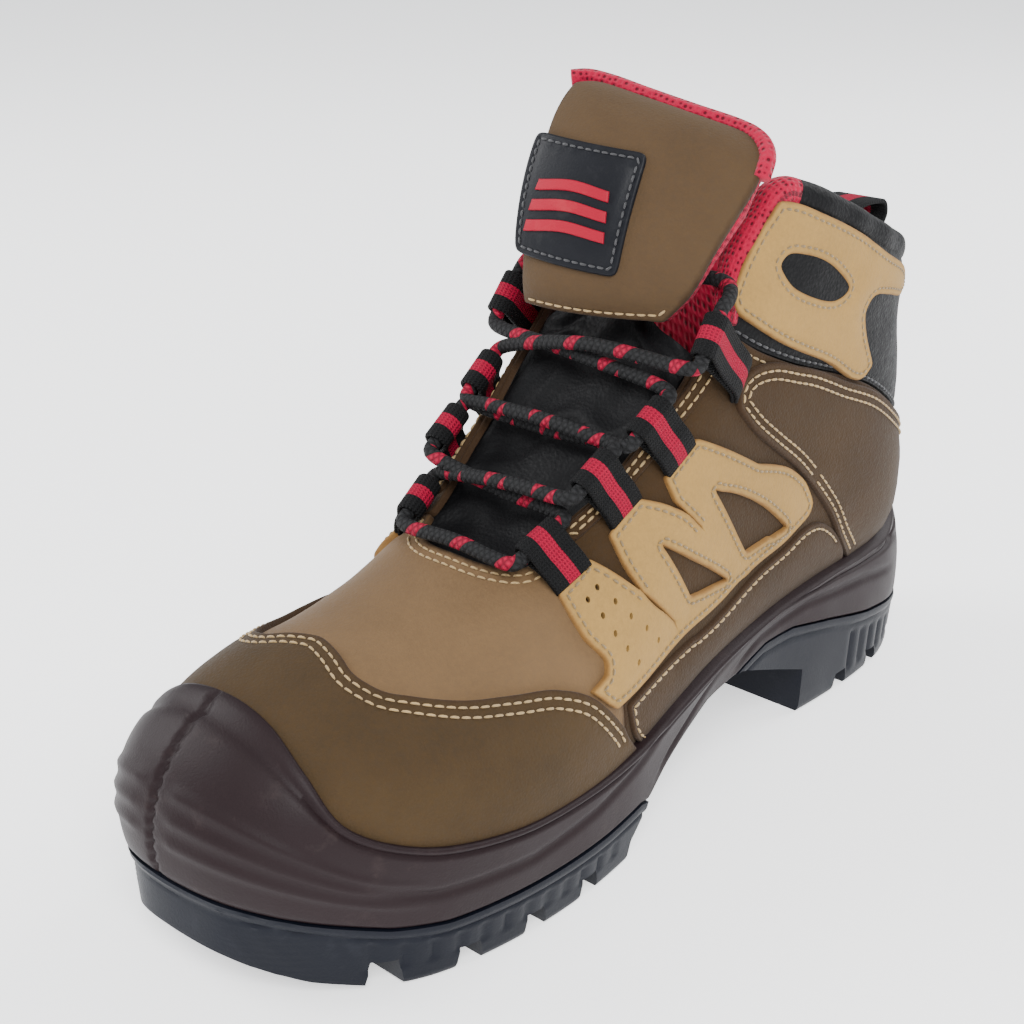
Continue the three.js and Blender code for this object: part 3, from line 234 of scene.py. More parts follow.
def hermite(points, step, periodic=False):
    """A smooth line through points, sampled about every step."""
    p = np.asarray(points, float)
    if periodic:
        p = np.vstack([p[-1], p, p[0], p[1]])
    run = np.maximum(np.linalg.norm(np.diff(p, axis=0), axis=1), 1e-9)
    slope = np.diff(p, axis=0) / run[:, None]
    inner = (slope[:-1] * run[1:, None] + slope[1:] * run[:-1, None]) / (run[:-1] + run[1:])[:, None]
    tangent = np.vstack([slope[0], inner, slope[-1]])
    out = []
    first, last = (1, len(p) - 3) if periodic else (0, len(p) - 2)
    for k in range(first, last + 1):
        count = max(1, int(math.ceil(run[k] / step)))
        t = (np.arange(count) / count)[:, None]
        h = run[k]
        out.append((2 * t ** 3 - 3 * t ** 2 + 1) * p[k] + (t ** 3 - 2 * t ** 2 + t) * h * tangent[k]
                   + (3 * t ** 2 - 2 * t ** 3) * p[k + 1] + (t ** 3 - t ** 2) * h * tangent[k + 1])
    line = np.vstack(out)
    return line if periodic else np.vstack([line, p[-1]])


NO_CORNER = 170


def turning(p, i):
    """How many degrees a line turns at one of its points."""
    before, after = p[i] - p[i - 1], p[(i + 1) % len(p)] - p[i]
    cos = np.dot(before, after) / max(1e-9, np.linalg.norm(before) * np.linalg.norm(after))
    return math.degrees(math.acos(max(-1.0, min(1.0, cos))))


def line_through(points, step=1.0, closed=False, corner=48):
    """Smooth between corners, with each corner kept."""
    p = np.asarray(points, float)
    count = len(p)
    inner = range(count) if closed else range(1, count - 1)
    corners = [i for i in inner if turning(p, i) > corner]
    if closed and not corners:
        return hermite(p, step, periodic=True)
    if not closed:
        corners = [0] + corners + [count - 1]
        runs = [p[i:j + 1] for i, j in zip(corners, corners[1:])]
        pieces = [hermite(run, step)[:-1] for run in runs]
        return np.vstack(pieces + [p[-1:]])
    runs = []
    for i, j in zip(corners, corners[1:] + [corners[0] + count]):
        runs.append(p[[k % count for k in range(i, j + 1)]])
    return np.vstack([hermite(run, step)[:-1] for run in runs])


def soften(line, rounds, closed=True):
    """Round the corners of a line a little."""
    for _ in range(rounds):
        mean = 0.25 * np.roll(line, 1, 0) + 0.5 * line + 0.25 * np.roll(line, -1, 0)
        if not closed:
            mean[0], mean[-1] = line[0], line[-1]
        line = mean
    return line


OUTLINE_STEP = 1.1


def outline_loop(surface, outline, rounds=2, corner=48):
    """A piece's outline as a closed flat line, smooth between its corners."""
    return soften(line_through(surface.to_flat(outline), OUTLINE_STEP, closed=True, corner=corner), rounds)


def resample(line, step, points=None):
    """The line at even steps, measured on points if they are given."""
    measured = line if points is None else points
    run = run_length(measured)
    count = max(2, int(round(run[-1] / step)) + 1)
    wanted = np.linspace(0, run[-1], count)
    return np.stack([np.interp(wanted, run, line[:, k]) for k in range(line.shape[1])], -1)


def shifted(surface, q, distance, closed=False):
    """A line moved sideways on its sheet; positive is to the left of its direction, seen from outside."""
    p = surface.point(q)
    tangent = unit_rows(round_trip(p) if closed else np.gradient(p, axis=0))
    side = np.cross(surface.normal(q), tangent) * distance
    moved = np.array(q, float)
    for _ in range(4):
        rest = p + side - surface.point(moved)
        d0, d1 = surface.slopes(moved)
        a, b, c = (d0 * d0).sum(1), (d0 * d1).sum(1), (d1 * d1).sum(1)
        r0, r1 = (d0 * rest).sum(1), (d1 * rest).sum(1)
        det = np.maximum(a * c - b * b, 1e-6)
        moved = moved + np.stack([(c * r0 - b * r1) / det, (a * r1 - b * r0) / det], -1)
    near = nearest(surface.point(moved), p)
    return moved[near > 0.86 * abs(distance)]


def nearest(points, others):
    """How far each point is from the nearest of the others."""
    tree = KDTree(len(others))
    for k, p in enumerate(others):
        tree.insert(p, k)
    tree.balance()
    return np.array([tree.find(p)[2] for p in points])


def inside(points, loop):
    """Which flat points lie inside a closed flat loop."""
    x, y = points[:, 0][:, None], points[:, 1][:, None]
    x0, y0 = loop[:, 0][None], loop[:, 1][None]
    x1, y1 = np.roll(loop[:, 0], -1)[None], np.roll(loop[:, 1], -1)[None]
    rises = (y0 > y) != (y1 > y)
    cross = x < (x1 - x0) * (y - y0) / np.where(y1 == y0, 1e-12, y1 - y0) + x0
    return ((rises & cross).sum(1) % 2) == 1


def mirror(line):
    """A lateral line on the medial side, still running the same way round."""
    return [(u, -v) for u, v in reversed(line)]


def round_the_back(line):
    """A lateral line from v = 1 carried round the heel to the medial side."""
    back = [(u, 2 - v) for u, v in line if v != 1]
    return list(line) + back[::-1]


# ---------------------------------------------------------------- meshes


def ring_faces(rings, columns, closed=False):
    """Quads between rings of points, each ring closed; closed joins the last ring to the first."""
    faces = []
    for r in range(rings if closed else rings - 1):
        after = (r + 1) % rings
        for k in range(columns):
            j = (k + 1) % columns
            faces.append((r * columns + k, r * columns + j, after * columns + j, after * columns + k))
    return faces


def capped_faces(rings, columns):
    """Ring faces with a cap at each end."""
    first, last = range(columns), range((rings - 1) * columns, rings * columns)
    return ring_faces(rings, columns) + [tuple(reversed(first)), tuple(last)]


def new_object(name, vertices, faces, smooth=True):
    """An object in metres from millimetre points, at the origin."""
    mesh = bpy.data.meshes.new(name)
    mesh.from_pydata((np.asarray(vertices, float) * MM).tolist(), [], [list(map(int, f)) for f in faces])
    mesh.update()
    obj = bpy.data.objects.new(f"{name}_shown" if name in frame["nodes"] else name, mesh)
    bpy.context.scene.collection.objects.link(obj)
    if smooth:
        mesh.polygons.foreach_set("use_smooth", [True] * len(mesh.polygons))
    return obj


def set_attribute(obj, name, values):
    attribute = obj.data.attributes.new(name, "FLOAT", "POINT")
    attribute.data.foreach_set("value", np.asarray(values, np.float32))


def set_uv(obj, uv):
    layer = obj.data.uv_layers.new(name="UVMap")
    corner = np.empty(len(obj.data.loops), np.int32)
    obj.data.loops.foreach_get("vertex_index", corner)
    layer.data.foreach_set("uv", np.asarray(uv, np.float32)[corner].ravel())


def select_only(obj):
    bpy.ops.object.select_all(action="DESELECT")
    obj.select_set(True)
    bpy.context.view_layer.objects.active = obj


def apply_modifiers(obj):
    select_only(obj)
    for modifier in list(obj.modifiers):
        bpy.ops.object.modifier_apply(modifier=modifier.name)


def smooth_by_angle(obj, degrees):
    select_only(obj)
    bpy.ops.object.shade_smooth_by_angle(angle=math.radians(degrees))


def face_outwards(obj, merge=False):
    """Turn every face of a closed shape outwards, after merging points that lie together if asked."""
    select_only(obj)
    bpy.ops.object.mode_set(mode="EDIT")
    bpy.ops.mesh.select_all(action="SELECT")
    if merge:
        bpy.ops.mesh.remove_doubles(threshold=0.01 * MM)
    bpy.ops.mesh.normals_make_consistent(inside=False)
    bpy.ops.object.mode_set(mode="OBJECT")


def finish(obj, material, body, nodes=()):
    """Give a piece its material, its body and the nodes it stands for."""
    obj.data.materials.clear()
    obj.data.materials.append(material)
    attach(obj, body)
    if nodes:
        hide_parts(*nodes)
    return obj


def panel(name, surface, outline, bottom, top, radius=0.8, holes=(), grid=2.4, relief=None, rows=(), rounds=2,
          corner=48):
    """A leather panel: an outline on a sheet between two heights, with a rounded upper edge."""
    loops = [outline_loop(surface, outline, rounds, corner)]
    loops += [np.asarray(hole, float) for hole in holes]
    points, edges = [], []
    for loop in loops:
        start = len(points)
        points += loop.tolist()
        edges += [(start + k, start + (k + 1) % len(loop)) for k in range(len(loop))]
    rim = np.vstack(loops)
    low, high = loops[0].min(0), loops[0].max(0)
    xs, ys = np.arange(low[0], high[0], grid), np.arange(low[1], high[1], grid)
    field = np.array([(x + (grid / 2) * (k % 2), y) for k, y in enumerate(ys) for x in xs])
    extra = []
    large = [loop for loop in loops if len(loop) > 12]
    for away in (0.3 * radius, 0.65 * radius, radius, 1.7 * radius + 0.4):
        for loop in large:
            tangent = unit_rows(round_trip(loop))
            normal = np.stack([-tangent[:, 1], tangent[:, 0]], -1)
            for side in (-1, 1):
                ring = loop + side * away * normal
                ring = ring[::1 if away < 2 else 2]
                gap = nearest(np.c_[ring, 0 * ring[:, 0]], np.c_[rim, 0 * rim[:, 0]])
                extra.append(ring[gap > 0.92 * away])
    gap = nearest(np.c_[field, 0 * field[:, 0]], np.c_[rim, 0 * rim[:, 0]])
    extra.append(field[gap > 1.7 * radius + 0.4 + grid * 0.45])
    if rows:
        stitched = np.vstack(rows)
        extra.append(stitched)
    extra = np.vstack(extra)
    keep = inside(extra, loops[0])
    for hole in loops[1:]:
        keep &= ~inside(extra, hole)
    points += extra[keep].tolist()
    result = delaunay_2d_cdt([Vector(p) for p in points], edges, [], 0, 1e-5)
    flat = np.array([v[:] for v in result[0]])
    faces = np.array([f for f in result[2] if len(f) == 3])
    middle = flat[faces].mean(1)
    kept = inside(middle, loops[0])
    for hole in loops[1:]:
        kept &= ~inside(middle, hole)
    faces = faces[kept]
    used = np.unique(faces)
    renumber = -np.ones(len(flat), int)
    renumber[used] = np.arange(len(used))
    flat, faces = flat[used], renumber[faces]
    area = np.cross(flat[faces[:, 1]] - flat[faces[:, 0]], flat[faces[:, 2]] - flat[faces[:, 0]])
    faces[area > 0] = faces[area > 0][:, ::-1]
    base, normal = surface.point(flat), surface.normal(flat)
    d = nearest(base, np.vstack([surface.point(loop) for loop in large]))
    inner = np.clip(radius - d, 0, radius)
    h = top - radius + np.sqrt(np.maximum(radius ** 2 - inner ** 2, 0))
    if rows:
        row_distance = nearest(base, surface.point(np.vstack(rows)))
        h = h - 0.42 * np.exp(-(row_distance / 0.8) ** 2)
    if relief is not None:
        h = h + relief(flat, base, d)
    count = len(flat)
    vertices = np.vstack([base + normal * h[:, None], base + normal * bottom])
    pairs = {pair: 1 for f in faces.tolist() for pair in ((f[0], f[1]), (f[1], f[2]), (f[2], f[0]))}
    wall = [(j, i, i + count, j + count) for i, j in pairs if (j, i) not in pairs]
    all_faces = faces.tolist() + (faces[:, ::-1] + count).tolist() + wall
    obj = new_object(name, vertices, all_faces)
    set_attribute(obj, "edge", np.concatenate([d, 0 * d]))
    set_uv(obj, np.vstack([flat, flat]) * 0.01)
    smooth_by_angle(obj, 50)
    return obj


# ---------------------------------------------------------------- materials


def node_group(name, outputs, inputs=(("Scale", 1.0),)):
    group = bpy.data.node_groups.new(name, "ShaderNodeTree")
    for label, default in inputs:
        socket = group.interface.new_socket(name=label, in_out="INPUT", socket_type="NodeSocketFloat")
        socket.default_value = default
    for label in outputs:
        group.interface.new_socket(name=label, in_out="OUTPUT", socket_type="NodeSocketFloat")
    return group, group.nodes.new("NodeGroupInput"), group.nodes.new("NodeGroupOutput")


def link(tree, start, end):
    tree.links.new(start, end)


def math_node(tree, operation, first, second=0.0, third=None):
    node = tree.nodes.new("ShaderNodeMath")
    node.operation = operation
    for socket, value in zip(node.inputs, (first, second, third)):
        if value is None:
            continue
        if isinstance(value, (int, float)):
            socket.default_value = value
        else:
            link(tree, value, socket)
    return node.outputs[0]


def noise_node(tree, vector, scale, detail=4.0, rough=0.55):
    node = tree.nodes.new("ShaderNodeTexNoise")
    link(tree, vector, node.inputs["Vector"])
    node.inputs["Scale"].default_value = scale
    node.inputs["Detail"].default_value = detail
    node.inputs["Roughness"].default_value = rough
    return node.outputs["Fac"]


def ranged(tree, value, low, high, to_low=0.0, to_high=1.0):
    node = tree.nodes.new("ShaderNodeMapRange")
    node.inputs["From Min"].default_value = low
    node.inputs["From Max"].default_value = high
    node.inputs["To Min"].default_value = to_low
    node.inputs["To Max"].default_value = to_high
    link(tree, value, node.inputs["Value"])
    return node.outputs["Result"]


def scaled_place(tree, factor=None):
    """Object place, times a scale where one is given."""
    coordinates = tree.nodes.new("ShaderNodeTexCoord")
    node = tree.nodes.new("ShaderNodeVectorMath")
    node.operation = "SCALE"
    link(tree, coordinates.outputs["Object"], node.inputs[0])
    node.inputs["Scale"].default_value = 1.0
    if factor is not None:
        link(tree, factor, node.inputs["Scale"])
    return node.outputs[0]


def uv_axes(tree):
    """The piece's own UV, split in two."""
    uv = tree.nodes.new("ShaderNodeUVMap")
    split = tree.nodes.new("ShaderNodeSeparateXYZ")
    link(tree, uv.outputs["UV"], split.inputs[0])
    return split.outputs["X"], split.outputs["Y"]


def leather_grain_group():
    """Pebbled grain height, soft blotches and pores."""
    group, inputs, outputs = node_group("leather_grain", ["Height", "Blotch", "Nap"])
    vector = scaled_place(group, inputs.outputs["Scale"])
    cells = group.nodes.new("ShaderNodeTexVoronoi")
    cells.inputs["Scale"].default_value = 1100.0
    link(group, vector, cells.inputs["Vector"])
    pebble = ranged(group, cells.outputs["Distance"], 0.0, 0.75)
    fine = noise_node(group, vector, 2600.0, 2.0)
    crease = noise_node(group, vector, 240.0, 5.0, 0.62)
    height = math_node(group, "MULTIPLY_ADD", pebble, 0.45, crease)
    height = math_node(group, "MULTIPLY_ADD", fine, 0.35, height)
    link(group, height, outputs.inputs["Height"])
    link(group, noise_node(group, vector, 34.0, 4.0, 0.6), outputs.inputs["Blotch"])
    link(group, noise_node(group, vector, 700.0, 3.0, 0.7), outputs.inputs["Nap"])
    return group


def edge_wear_group():
    """1 at a panel's cut edge, falling to 0 a few millimetres in."""
    group, inputs, outputs = node_group("edge_wear", ["Edge"], (("Width", 2.0),))
    attribute = group.nodes.new("ShaderNodeAttribute")
    attribute.attribute_name = "edge"
    wobble = noise_node(group, scaled_place(group), 260.0, 3.0)
    share = math_node(group, "DIVIDE", attribute.outputs["Fac"], inputs.outputs["Width"])
    share = math_node(group, "ADD", share, ranged(group, wobble, 0.3, 0.7, -0.25, 0.25))
    node = group.nodes.new("ShaderNodeClamp")
    link(group, math_node(group, "SUBTRACT", 1.0, share), node.inputs["Value"])
    link(group, node.outputs[0], outputs.inputs["Edge"])
    return group


def moulded_group():
    """Fine matt texture of moulded rubber and foam, with faint flow marks and dust."""
    group, inputs, outputs = node_group("moulded_skin", ["Height", "Blotch", "Dust"])
    vector = scaled_place(group, inputs.outputs["Scale"])
    fine = noise_node(group, vector, 1500.0, 3.0, 0.6)
    flow = noise_node(group, vector, 60.0, 4.0, 0.5)
    link(group, math_node(group, "MULTIPLY_ADD", flow, 0.8, fine), outputs.inputs["Height"])
    link(group, noise_node(group, vector, 22.0, 4.0, 0.6), outputs.inputs["Blotch"])
    dust = noise_node(group, vector, 90.0, 6.0, 0.75)
    link(group, ranged(group, dust, 0.56, 0.72), outputs.inputs["Dust"])
    return group


def tape_weave_group():
    """Ribbed weave of a tape; its UV runs along the tape in millimetres, and across it from 0 to 1."""
    group, inputs, outputs = node_group("tape_weave", ["Height", "Across"], (("Rib", 1.0),))
    length, across = uv_axes(group)
    along = math_node(group, "MULTIPLY", length, inputs.outputs["Rib"])
    ribs = math_node(group, "SINE", math_node(group, "MULTIPLY", along, 2 * math.pi))
    threads = math_node(group, "SINE", math_node(group, "MULTIPLY", across, 2 * math.pi * 14))
    weave = math_node(group, "MULTIPLY", ribs, threads)
    link(group, math_node(group, "MULTIPLY_ADD", ribs, 0.8, weave), outputs.inputs["Height"])
    link(group, across, outputs.inputs["Across"])
    return group


def braid_group():
    """Crossing strands of a round braid; its UV runs along in millimetres and round from 0 to 1."""
    group, inputs, outputs = node_group("braid", ["Height", "Fleck"], (("Pitch", 3.0),))
    length, round_it = uv_axes(group)
    along = math_node(group, "DIVIDE", length, inputs.outputs["Pitch"])
    turns = math_node(group, "MULTIPLY", round_it, 4.0)
    one = math_node(group, "ADD", along, turns)
    two = math_node(group, "SUBTRACT", along, turns)
    waves = [math_node(group, "ABSOLUTE",
                       math_node(group, "SINE", math_node(group, "MULTIPLY", way, math.pi)))
             for way in (one, two)]
    link(group, math_node(group, "MULTIPLY", *waves), outputs.inputs["Height"])
    pick = math_node(group, "MODULO", math_node(group, "FLOOR", one), 4.0)
    run = math_node(group, "LESS_THAN", math_node(group, "ABSOLUTE", pick), 1.5)
    gap = math_node(group, "GREATER_THAN",
                    math_node(group, "SINE", math_node(group, "MULTIPLY", length, 0.36)), 0.25)
    link(group, math_node(group, "MULTIPLY", run, gap), outputs.inputs["Fleck"])
    return group


def mesh_knit_group():
    """Open spacer mesh: round holes in a staggered net, from the piece's own UV in centimetres. The holes are
    not cut; their mask marks where dark shade is painted.
    """
    group, inputs, outputs = node_group("mesh_knit", ["Height", "Hole Shade"], (("Scale", 1.0),))
    uv = group.nodes.new("ShaderNodeUVMap")
    node = group.nodes.new("ShaderNodeVectorMath")
    node.operation = "SCALE"
    link(group, uv.outputs["UV"], node.inputs[0])
    link(group, inputs.outputs["Scale"], node.inputs["Scale"])
    cells = group.nodes.new("ShaderNodeTexVoronoi")
    cells.inputs["Scale"].default_value = 52.0
    cells.inputs["Randomness"].default_value = 0.35
    link(group, node.outputs[0], cells.inputs["Vector"])
    link(group, ranged(group, cells.outputs["Distance"], 0.15, 0.55), outputs.inputs["Height"])
    # mask of the net's holes, where painted shade goes
    link(group, ranged(group, cells.outputs["Distance"], 0.34, 0.2), outputs.inputs["Hole Shade"])
    return group


GROUPS = {}


def group_node(tree, name, scale):
    node = tree.nodes.new("ShaderNodeGroup")
    node.node_tree = GROUPS[name]
    node.inputs[0].default_value = scale
    return node


def darker(share, colour):
    return tuple(share * c for c in colour)


def new_material(name, roughness, coat=0.0, sheen=0.0, specular=0.5):
    material = bpy.data.materials.new(name)
    material.use_nodes = True
    tree = material.node_tree
    shader = tree.nodes["Principled BSDF"]
    shader.inputs["Roughness"].default_value = roughness
    shader.inputs["Coat Weight"].default_value = coat
    shader.inputs["Sheen Weight"].default_value = sheen
    shader.inputs["Specular IOR Level"].default_value = specular
    return material, tree, shader


def mixed(tree, mask, first, second):
    node = tree.nodes.new("ShaderNodeMix")
    node.data_type = "RGBA"
    link(tree, mask, node.inputs[0])
    for socket, value in ((node.inputs[6], first), (node.inputs[7], second)):
        if isinstance(value, tuple):
            socket.default_value = (*value, 1.0)
        else:
            link(tree, value, socket)
    return node.outputs[2]


def bumped(tree, shader, height, distance, strength=1.0):
    node = tree.nodes.new("ShaderNodeBump")
    node.inputs["Distance"].default_value = distance
    node.inputs["Strength"].default_value = strength
    link(tree, height, node.inputs["Height"])
    link(tree, node.outputs[0], shader.inputs["Normal"])


def leather(name, colour, dark, edge, roughness=0.8, bump=0.0002, sheen=0.04, scale=1.0, wear=1.8,
            specular=0.18):
    """Nubuck or grain leather: blotched tone, fine nap, and a cut edge of its own colour."""
    material, tree, shader = new_material(name, roughness, sheen=sheen, specular=specular)
    shader.inputs["Sheen Roughness"].default_value = 0.45
    grain = group_node(tree, "leather_grain", scale)
    tone = mixed(tree, ranged(tree, grain.outputs["Blotch"], 0.3, 0.7), dark, colour)
    nap = mixed(tree, ranged(tree, grain.outputs["Nap"], 0.35, 0.75, 0.0, 0.35), tone,
                tuple(min(1.0, 1.35 * c) for c in colour))
    worn = group_node(tree, "edge_wear", wear)
    link(tree, mixed(tree, worn.outputs["Edge"], nap, edge), shader.inputs["Base Color"])
    link(tree, ranged(tree, grain.outputs["Nap"], 0.3, 0.7, roughness - 0.08, roughness + 0.1),
         shader.inputs["Roughness"])
    bumped(tree, shader, grain.outputs["Height"], bump)
    return material


def moulded(name, colour, dusty, roughness, bump=0.00009, scale=1.0, coat=0.0):
    material, tree, shader = new_material(name, roughness, coat=coat, specular=0.15)
    skin = group_node(tree, "moulded_skin", scale)
    tone = mixed(tree, ranged(tree, skin.outputs["Blotch"], 0.3, 0.7), darker(0.82, colour), colour)
    faint = math_node(tree, "MULTIPLY", skin.outputs["Dust"], 0.22)
    link(tree, mixed(tree, faint, tone, dusty), shader.inputs["Base Color"])
    link(tree, ranged(tree, skin.outputs["Blotch"], 0.3, 0.7, roughness - 0.07, roughness + 0.09),
         shader.inputs["Roughness"])
    bumped(tree, shader, skin.outputs["Height"], bump)
    return material


def tape(name, colour, stripe, half_width, rib=0.9):
    material, tree, shader = new_material(name, 0.85, sheen=0.0, specular=0.2)
    weave = group_node(tree, "tape_weave", rib)
    off = math_node(tree, "ABSOLUTE", math_node(tree, "SUBTRACT", weave.outputs["Across"], 0.5))
    mask = math_node(tree, "LESS_THAN", off, half_width)
    # painted shade: the tape is darker in the hollows of its weave, so black and red below are lit and
    # painted-shade copies of each colour
    shade = ranged(tree, weave.outputs["Height"], -1.2, 1.2, 0.0, 1.0)
    black = mixed(tree, shade, darker(0.45, colour), colour)
    red = mixed(tree, shade, darker(0.55, stripe), stripe)
    link(tree, mixed(tree, mask, black, red), shader.inputs["Base Color"])
    bumped(tree, shader, weave.outputs["Height"], 0.00018)
    return material


def cord(name, colour, fleck):
    material, tree, shader = new_material(name, 0.8, sheen=0.0, specular=0.25)
    weave = group_node(tree, "braid", 2.1)
    # painted shade: the lace is darker in the hollows between its strands, so black and red below are lit and
    # painted-shade copies
    shade = ranged(tree, weave.outputs["Height"], 0.0, 1.0)
    black = mixed(tree, shade, darker(0.3, colour), colour)
    red = mixed(tree, shade, darker(0.4, fleck), fleck)
    link(tree, mixed(tree, weave.outputs["Fleck"], black, red), shader.inputs["Base Color"])
    bumped(tree, shader, weave.outputs["Height"], 0.00045)
    return material


def knit(name, colour):
    material, tree, shader = new_material(name, 0.9, sheen=0.08, specular=0.2)
    shader.inputs["Sheen Roughness"].default_value = 0.5
    net = group_node(tree, "mesh_knit", 1.0)
    # painted shade: the holes are painted dark instead of being cut through the mesh
    link(tree, mixed(tree, net.outputs["Hole Shade"], colour, darker(0.22, colour)), shader.inputs["Base Color"])
    bumped(tree, shader, net.outputs["Height"], 0.0005)
    return material


def thread(name, colour):
    material, tree, shader = new_material(name, 0.7, sheen=0.2)
    skin = group_node(tree, "moulded_skin", 3.0)
    link(tree, mixed(tree, ranged(tree, skin.outputs["Blotch"], 0.3, 0.7), darker(0.75, colour), colour),
         shader.inputs["Base Color"])
    bumped(tree, shader, skin.outputs["Height"], 0.00008)
    return material


def metal(name, colour, roughness):
    material, tree, shader = new_material(name, roughness)
    shader.inputs["Metallic"].default_value = 1.0
    skin = group_node(tree, "moulded_skin", 1.4)
    link(tree, mixed(tree, skin.outputs["Blotch"], darker(0.8, colour), colour), shader.inputs["Base Color"])
    bumped(tree, shader, skin.outputs["Height"], 0.00003)
    return material


MATERIALS = {}


def make_materials(colours):
    GROUPS.update(
        leather_grain=leather_grain_group(), edge_wear=edge_wear_group(), moulded_skin=moulded_group(),
        tape_weave=tape_weave_group(), braid=braid_group(), mesh_knit=mesh_knit_group(),
    )
    vamp, guard, brown, tan = (tuple(c) for c in (colours.vamp, colours.guard, colours.brown, colours.tan))
    black, red, cream = tuple(colours.black), tuple(colours.red), tuple(colours.cream)
    cut = (0.03, 0.015, 0.006)
    MATERIALS.update(
        tongue=leather("tongue nubuck", darker(0.5, vamp), darker(0.4, vamp), cut, 0.8, 0.00016),
        vamp=leather("vamp nubuck", vamp, darker(0.8, vamp), cut, 0.74, 0.00014),
        guard=leather("toe guard nubuck", guard, darker(0.7, guard), cut, 0.82, 0.0002),
        brown=leather("quarter nubuck", brown, darker(0.72, brown), cut, 0.82, 0.0002),
        tan=leather("tan nubuck", tan, darker(0.84, tan), (0.2, 0.1, 0.028), 0.84, 0.00016, wear=1.1),
        black=leather("black leather", black, darker(0.6, black), black, 0.58, 0.00026, 0.0, 0.8, 1.0, 0.12),
        midsole=moulded("moulded foam", tuple(colours.midsole), (0.05, 0.035, 0.032), 0.5),
        outsole=moulded("outsole rubber", tuple(colours.outsole), (0.025, 0.027, 0.033), 0.46),
        label=moulded("label rubber", (0.006, 0.0065, 0.009), (0.04, 0.04, 0.04), 0.45),
        emblem=moulded("emblem rubber", (0.3, 0.006, 0.022), (0.4, 0.06, 0.06), 0.45),
        aglet=moulded("lace tip", (0.01, 0.01, 0.012), (0.05, 0.05, 0.05), 0.25, coat=0.5),
        loop=tape("lace loop tape", black, red, 0.16),
        pull=tape("pull tape", black, red, 0.17),
        lace=cord("braided lace", (0.012, 0.012, 0.013), red),
        knit=knit("red spacer mesh", red),
        cream=thread("cream thread", cream),
        gold=thread("gold thread", darker(0.55, cream)),
        dark=thread("black thread", (0.03, 0.03, 0.033)),
        steel=metal("pressed steel", (0.5, 0.51, 0.53), 0.38),
        board=leather("fibre board", (0.4, 0.33, 0.22), (0.33, 0.27, 0.18), (0.3, 0.25, 0.17), 0.9, 0.0001,
                      0.0),
        sock=leather("footbed sock", (0.03, 0.03, 0.034), (0.02, 0.02, 0.023), (0.03, 0.03, 0.034), 0.95,
                     0.0003, 0.2),
    )


# ---------------------------------------------------------------- outlines of the upper

TURN_IN = [(0, 0.97), (1, 0.93), (2, 0.85), (3, 0.82), (10, 0.82), (11.5, 0.86), (12.5, 0.94)]


def turn_in(start, end, rise=0.0):
    us, vs = zip(*TURN_IN)
    middle = [(u, v - rise) for u, v in TURN_IN if start < u < end]
    first, last = np.interp([start, end], us, vs)
    return [(start, first - rise)] + middle + [(end, last - rise)]


THROAT_U = [(6.45, 0), (6.5, 0.06), (6.72, 0.11), (7.1, 0.13)]
THROAT_SIDE = [(7.5, 0.13), (8.24, 0.166), (8.9, 0.182), (9.6, 0.204), (10.8, 0.244), (11.7, 0.252),
               (12.5, 0.25)]
QUARTER_TOP = [(12.68, 0.266), (13.08, 0.346), (13.72, 0.424), (14.48, 0.498), (14.8, 0.56), (14.95, 0.7),
               (15, 1)]
VAMP_HALF = THROAT_U[1:] + turn_in(0, 7.1)[::-1]
VAMP = [THROAT_U[0]] + VAMP_HALF[:-1] + mirror(VAMP_HALF[:-1])
QUARTER = [(7.1, 0.13)] + THROAT_SIDE + QUARTER_TOP + [(12.7, 1)] + turn_in(7.1, 12.5)[::-1]
GUARD_EDGE = [
    (4.18, 0), (4.08, 0.056), (3.96, 0.11), (4.04, 0.164), (4.28, 0.198), (4.66, 0.236), (5.34, 0.284),
    (5.96, 0.334), (6.38, 0.388), (6.74, 0.456), (7.04, 0.506), (7.42, 0.65), (7.5, 0.8),
]
GUARD_HALF = GUARD_EDGE[1:] + turn_in(0, 7.4, 0.02)[::-1]
TOE_GUARD = [GUARD_EDGE[0]] + GUARD_HALF[:-1] + mirror(GUARD_HALF[:-1])
SIDE_OVERLAY = [
    (7.45, 0.214), (6.78, 0.202), (6.71, 0.253), (6.7, 0.303), (6.89, 0.369), (6.82, 0.391), (6.44, 0.387),
    (6.85, 0.461),
    (7.67, 0.481), (8.51, 0.488), (9.35, 0.498), (10.14, 0.502), (10.88, 0.514), (11.48, 0.516),
    (11.7, 0.509), (11.79, 0.498),
    (11.7, 0.488), (10.98, 0.44), (10.02, 0.307), (9.12, 0.276), (9.07, 0.324), (9.34, 0.404), (9.15, 0.353),
    (8.97, 0.319),
    (8.56, 0.244), (7.88, 0.229), (7.82, 0.29), (7.88, 0.35), (8.34, 0.46), (8.03, 0.393), (7.75, 0.318),
]
SIDE_WINDOWS = [
    [(9.87, 0.392), (10.07, 0.493), (11.04, 0.505), (10.78, 0.485), (10.33, 0.44)],
    [(8.52, 0.342), (8.75, 0.457), (9.57, 0.492), (9.03, 0.428)],
]
FOXING = [
    (7.14, 0.482), (7.75, 0.492), (8.56, 0.499), (9.4, 0.507), (10.2, 0.514), (10.9, 0.527), (11.4, 0.53),
    (11.64, 0.54),
    (11.8, 0.57), (11.88, 0.64), (11.9, 0.8), (10, 0.8), (7.62, 0.8), (7.54, 0.65), (7.24, 0.53),
]
COUNTER = [
    (12.55, 1), (12, 0.84), (11.98, 0.776), (11.86, 0.614), (11.9, 0.528), (11.8, 0.49), (11.52, 0.45),
    (11.3, 0.408), (11.22, 0.362), (11.48, 0.35), (12.1, 0.348), (12.88, 0.364), (13.78, 0.43),
    (14.46, 0.505),
    (14.72, 0.56), (14.82, 0.7), (14.87, 1),
]
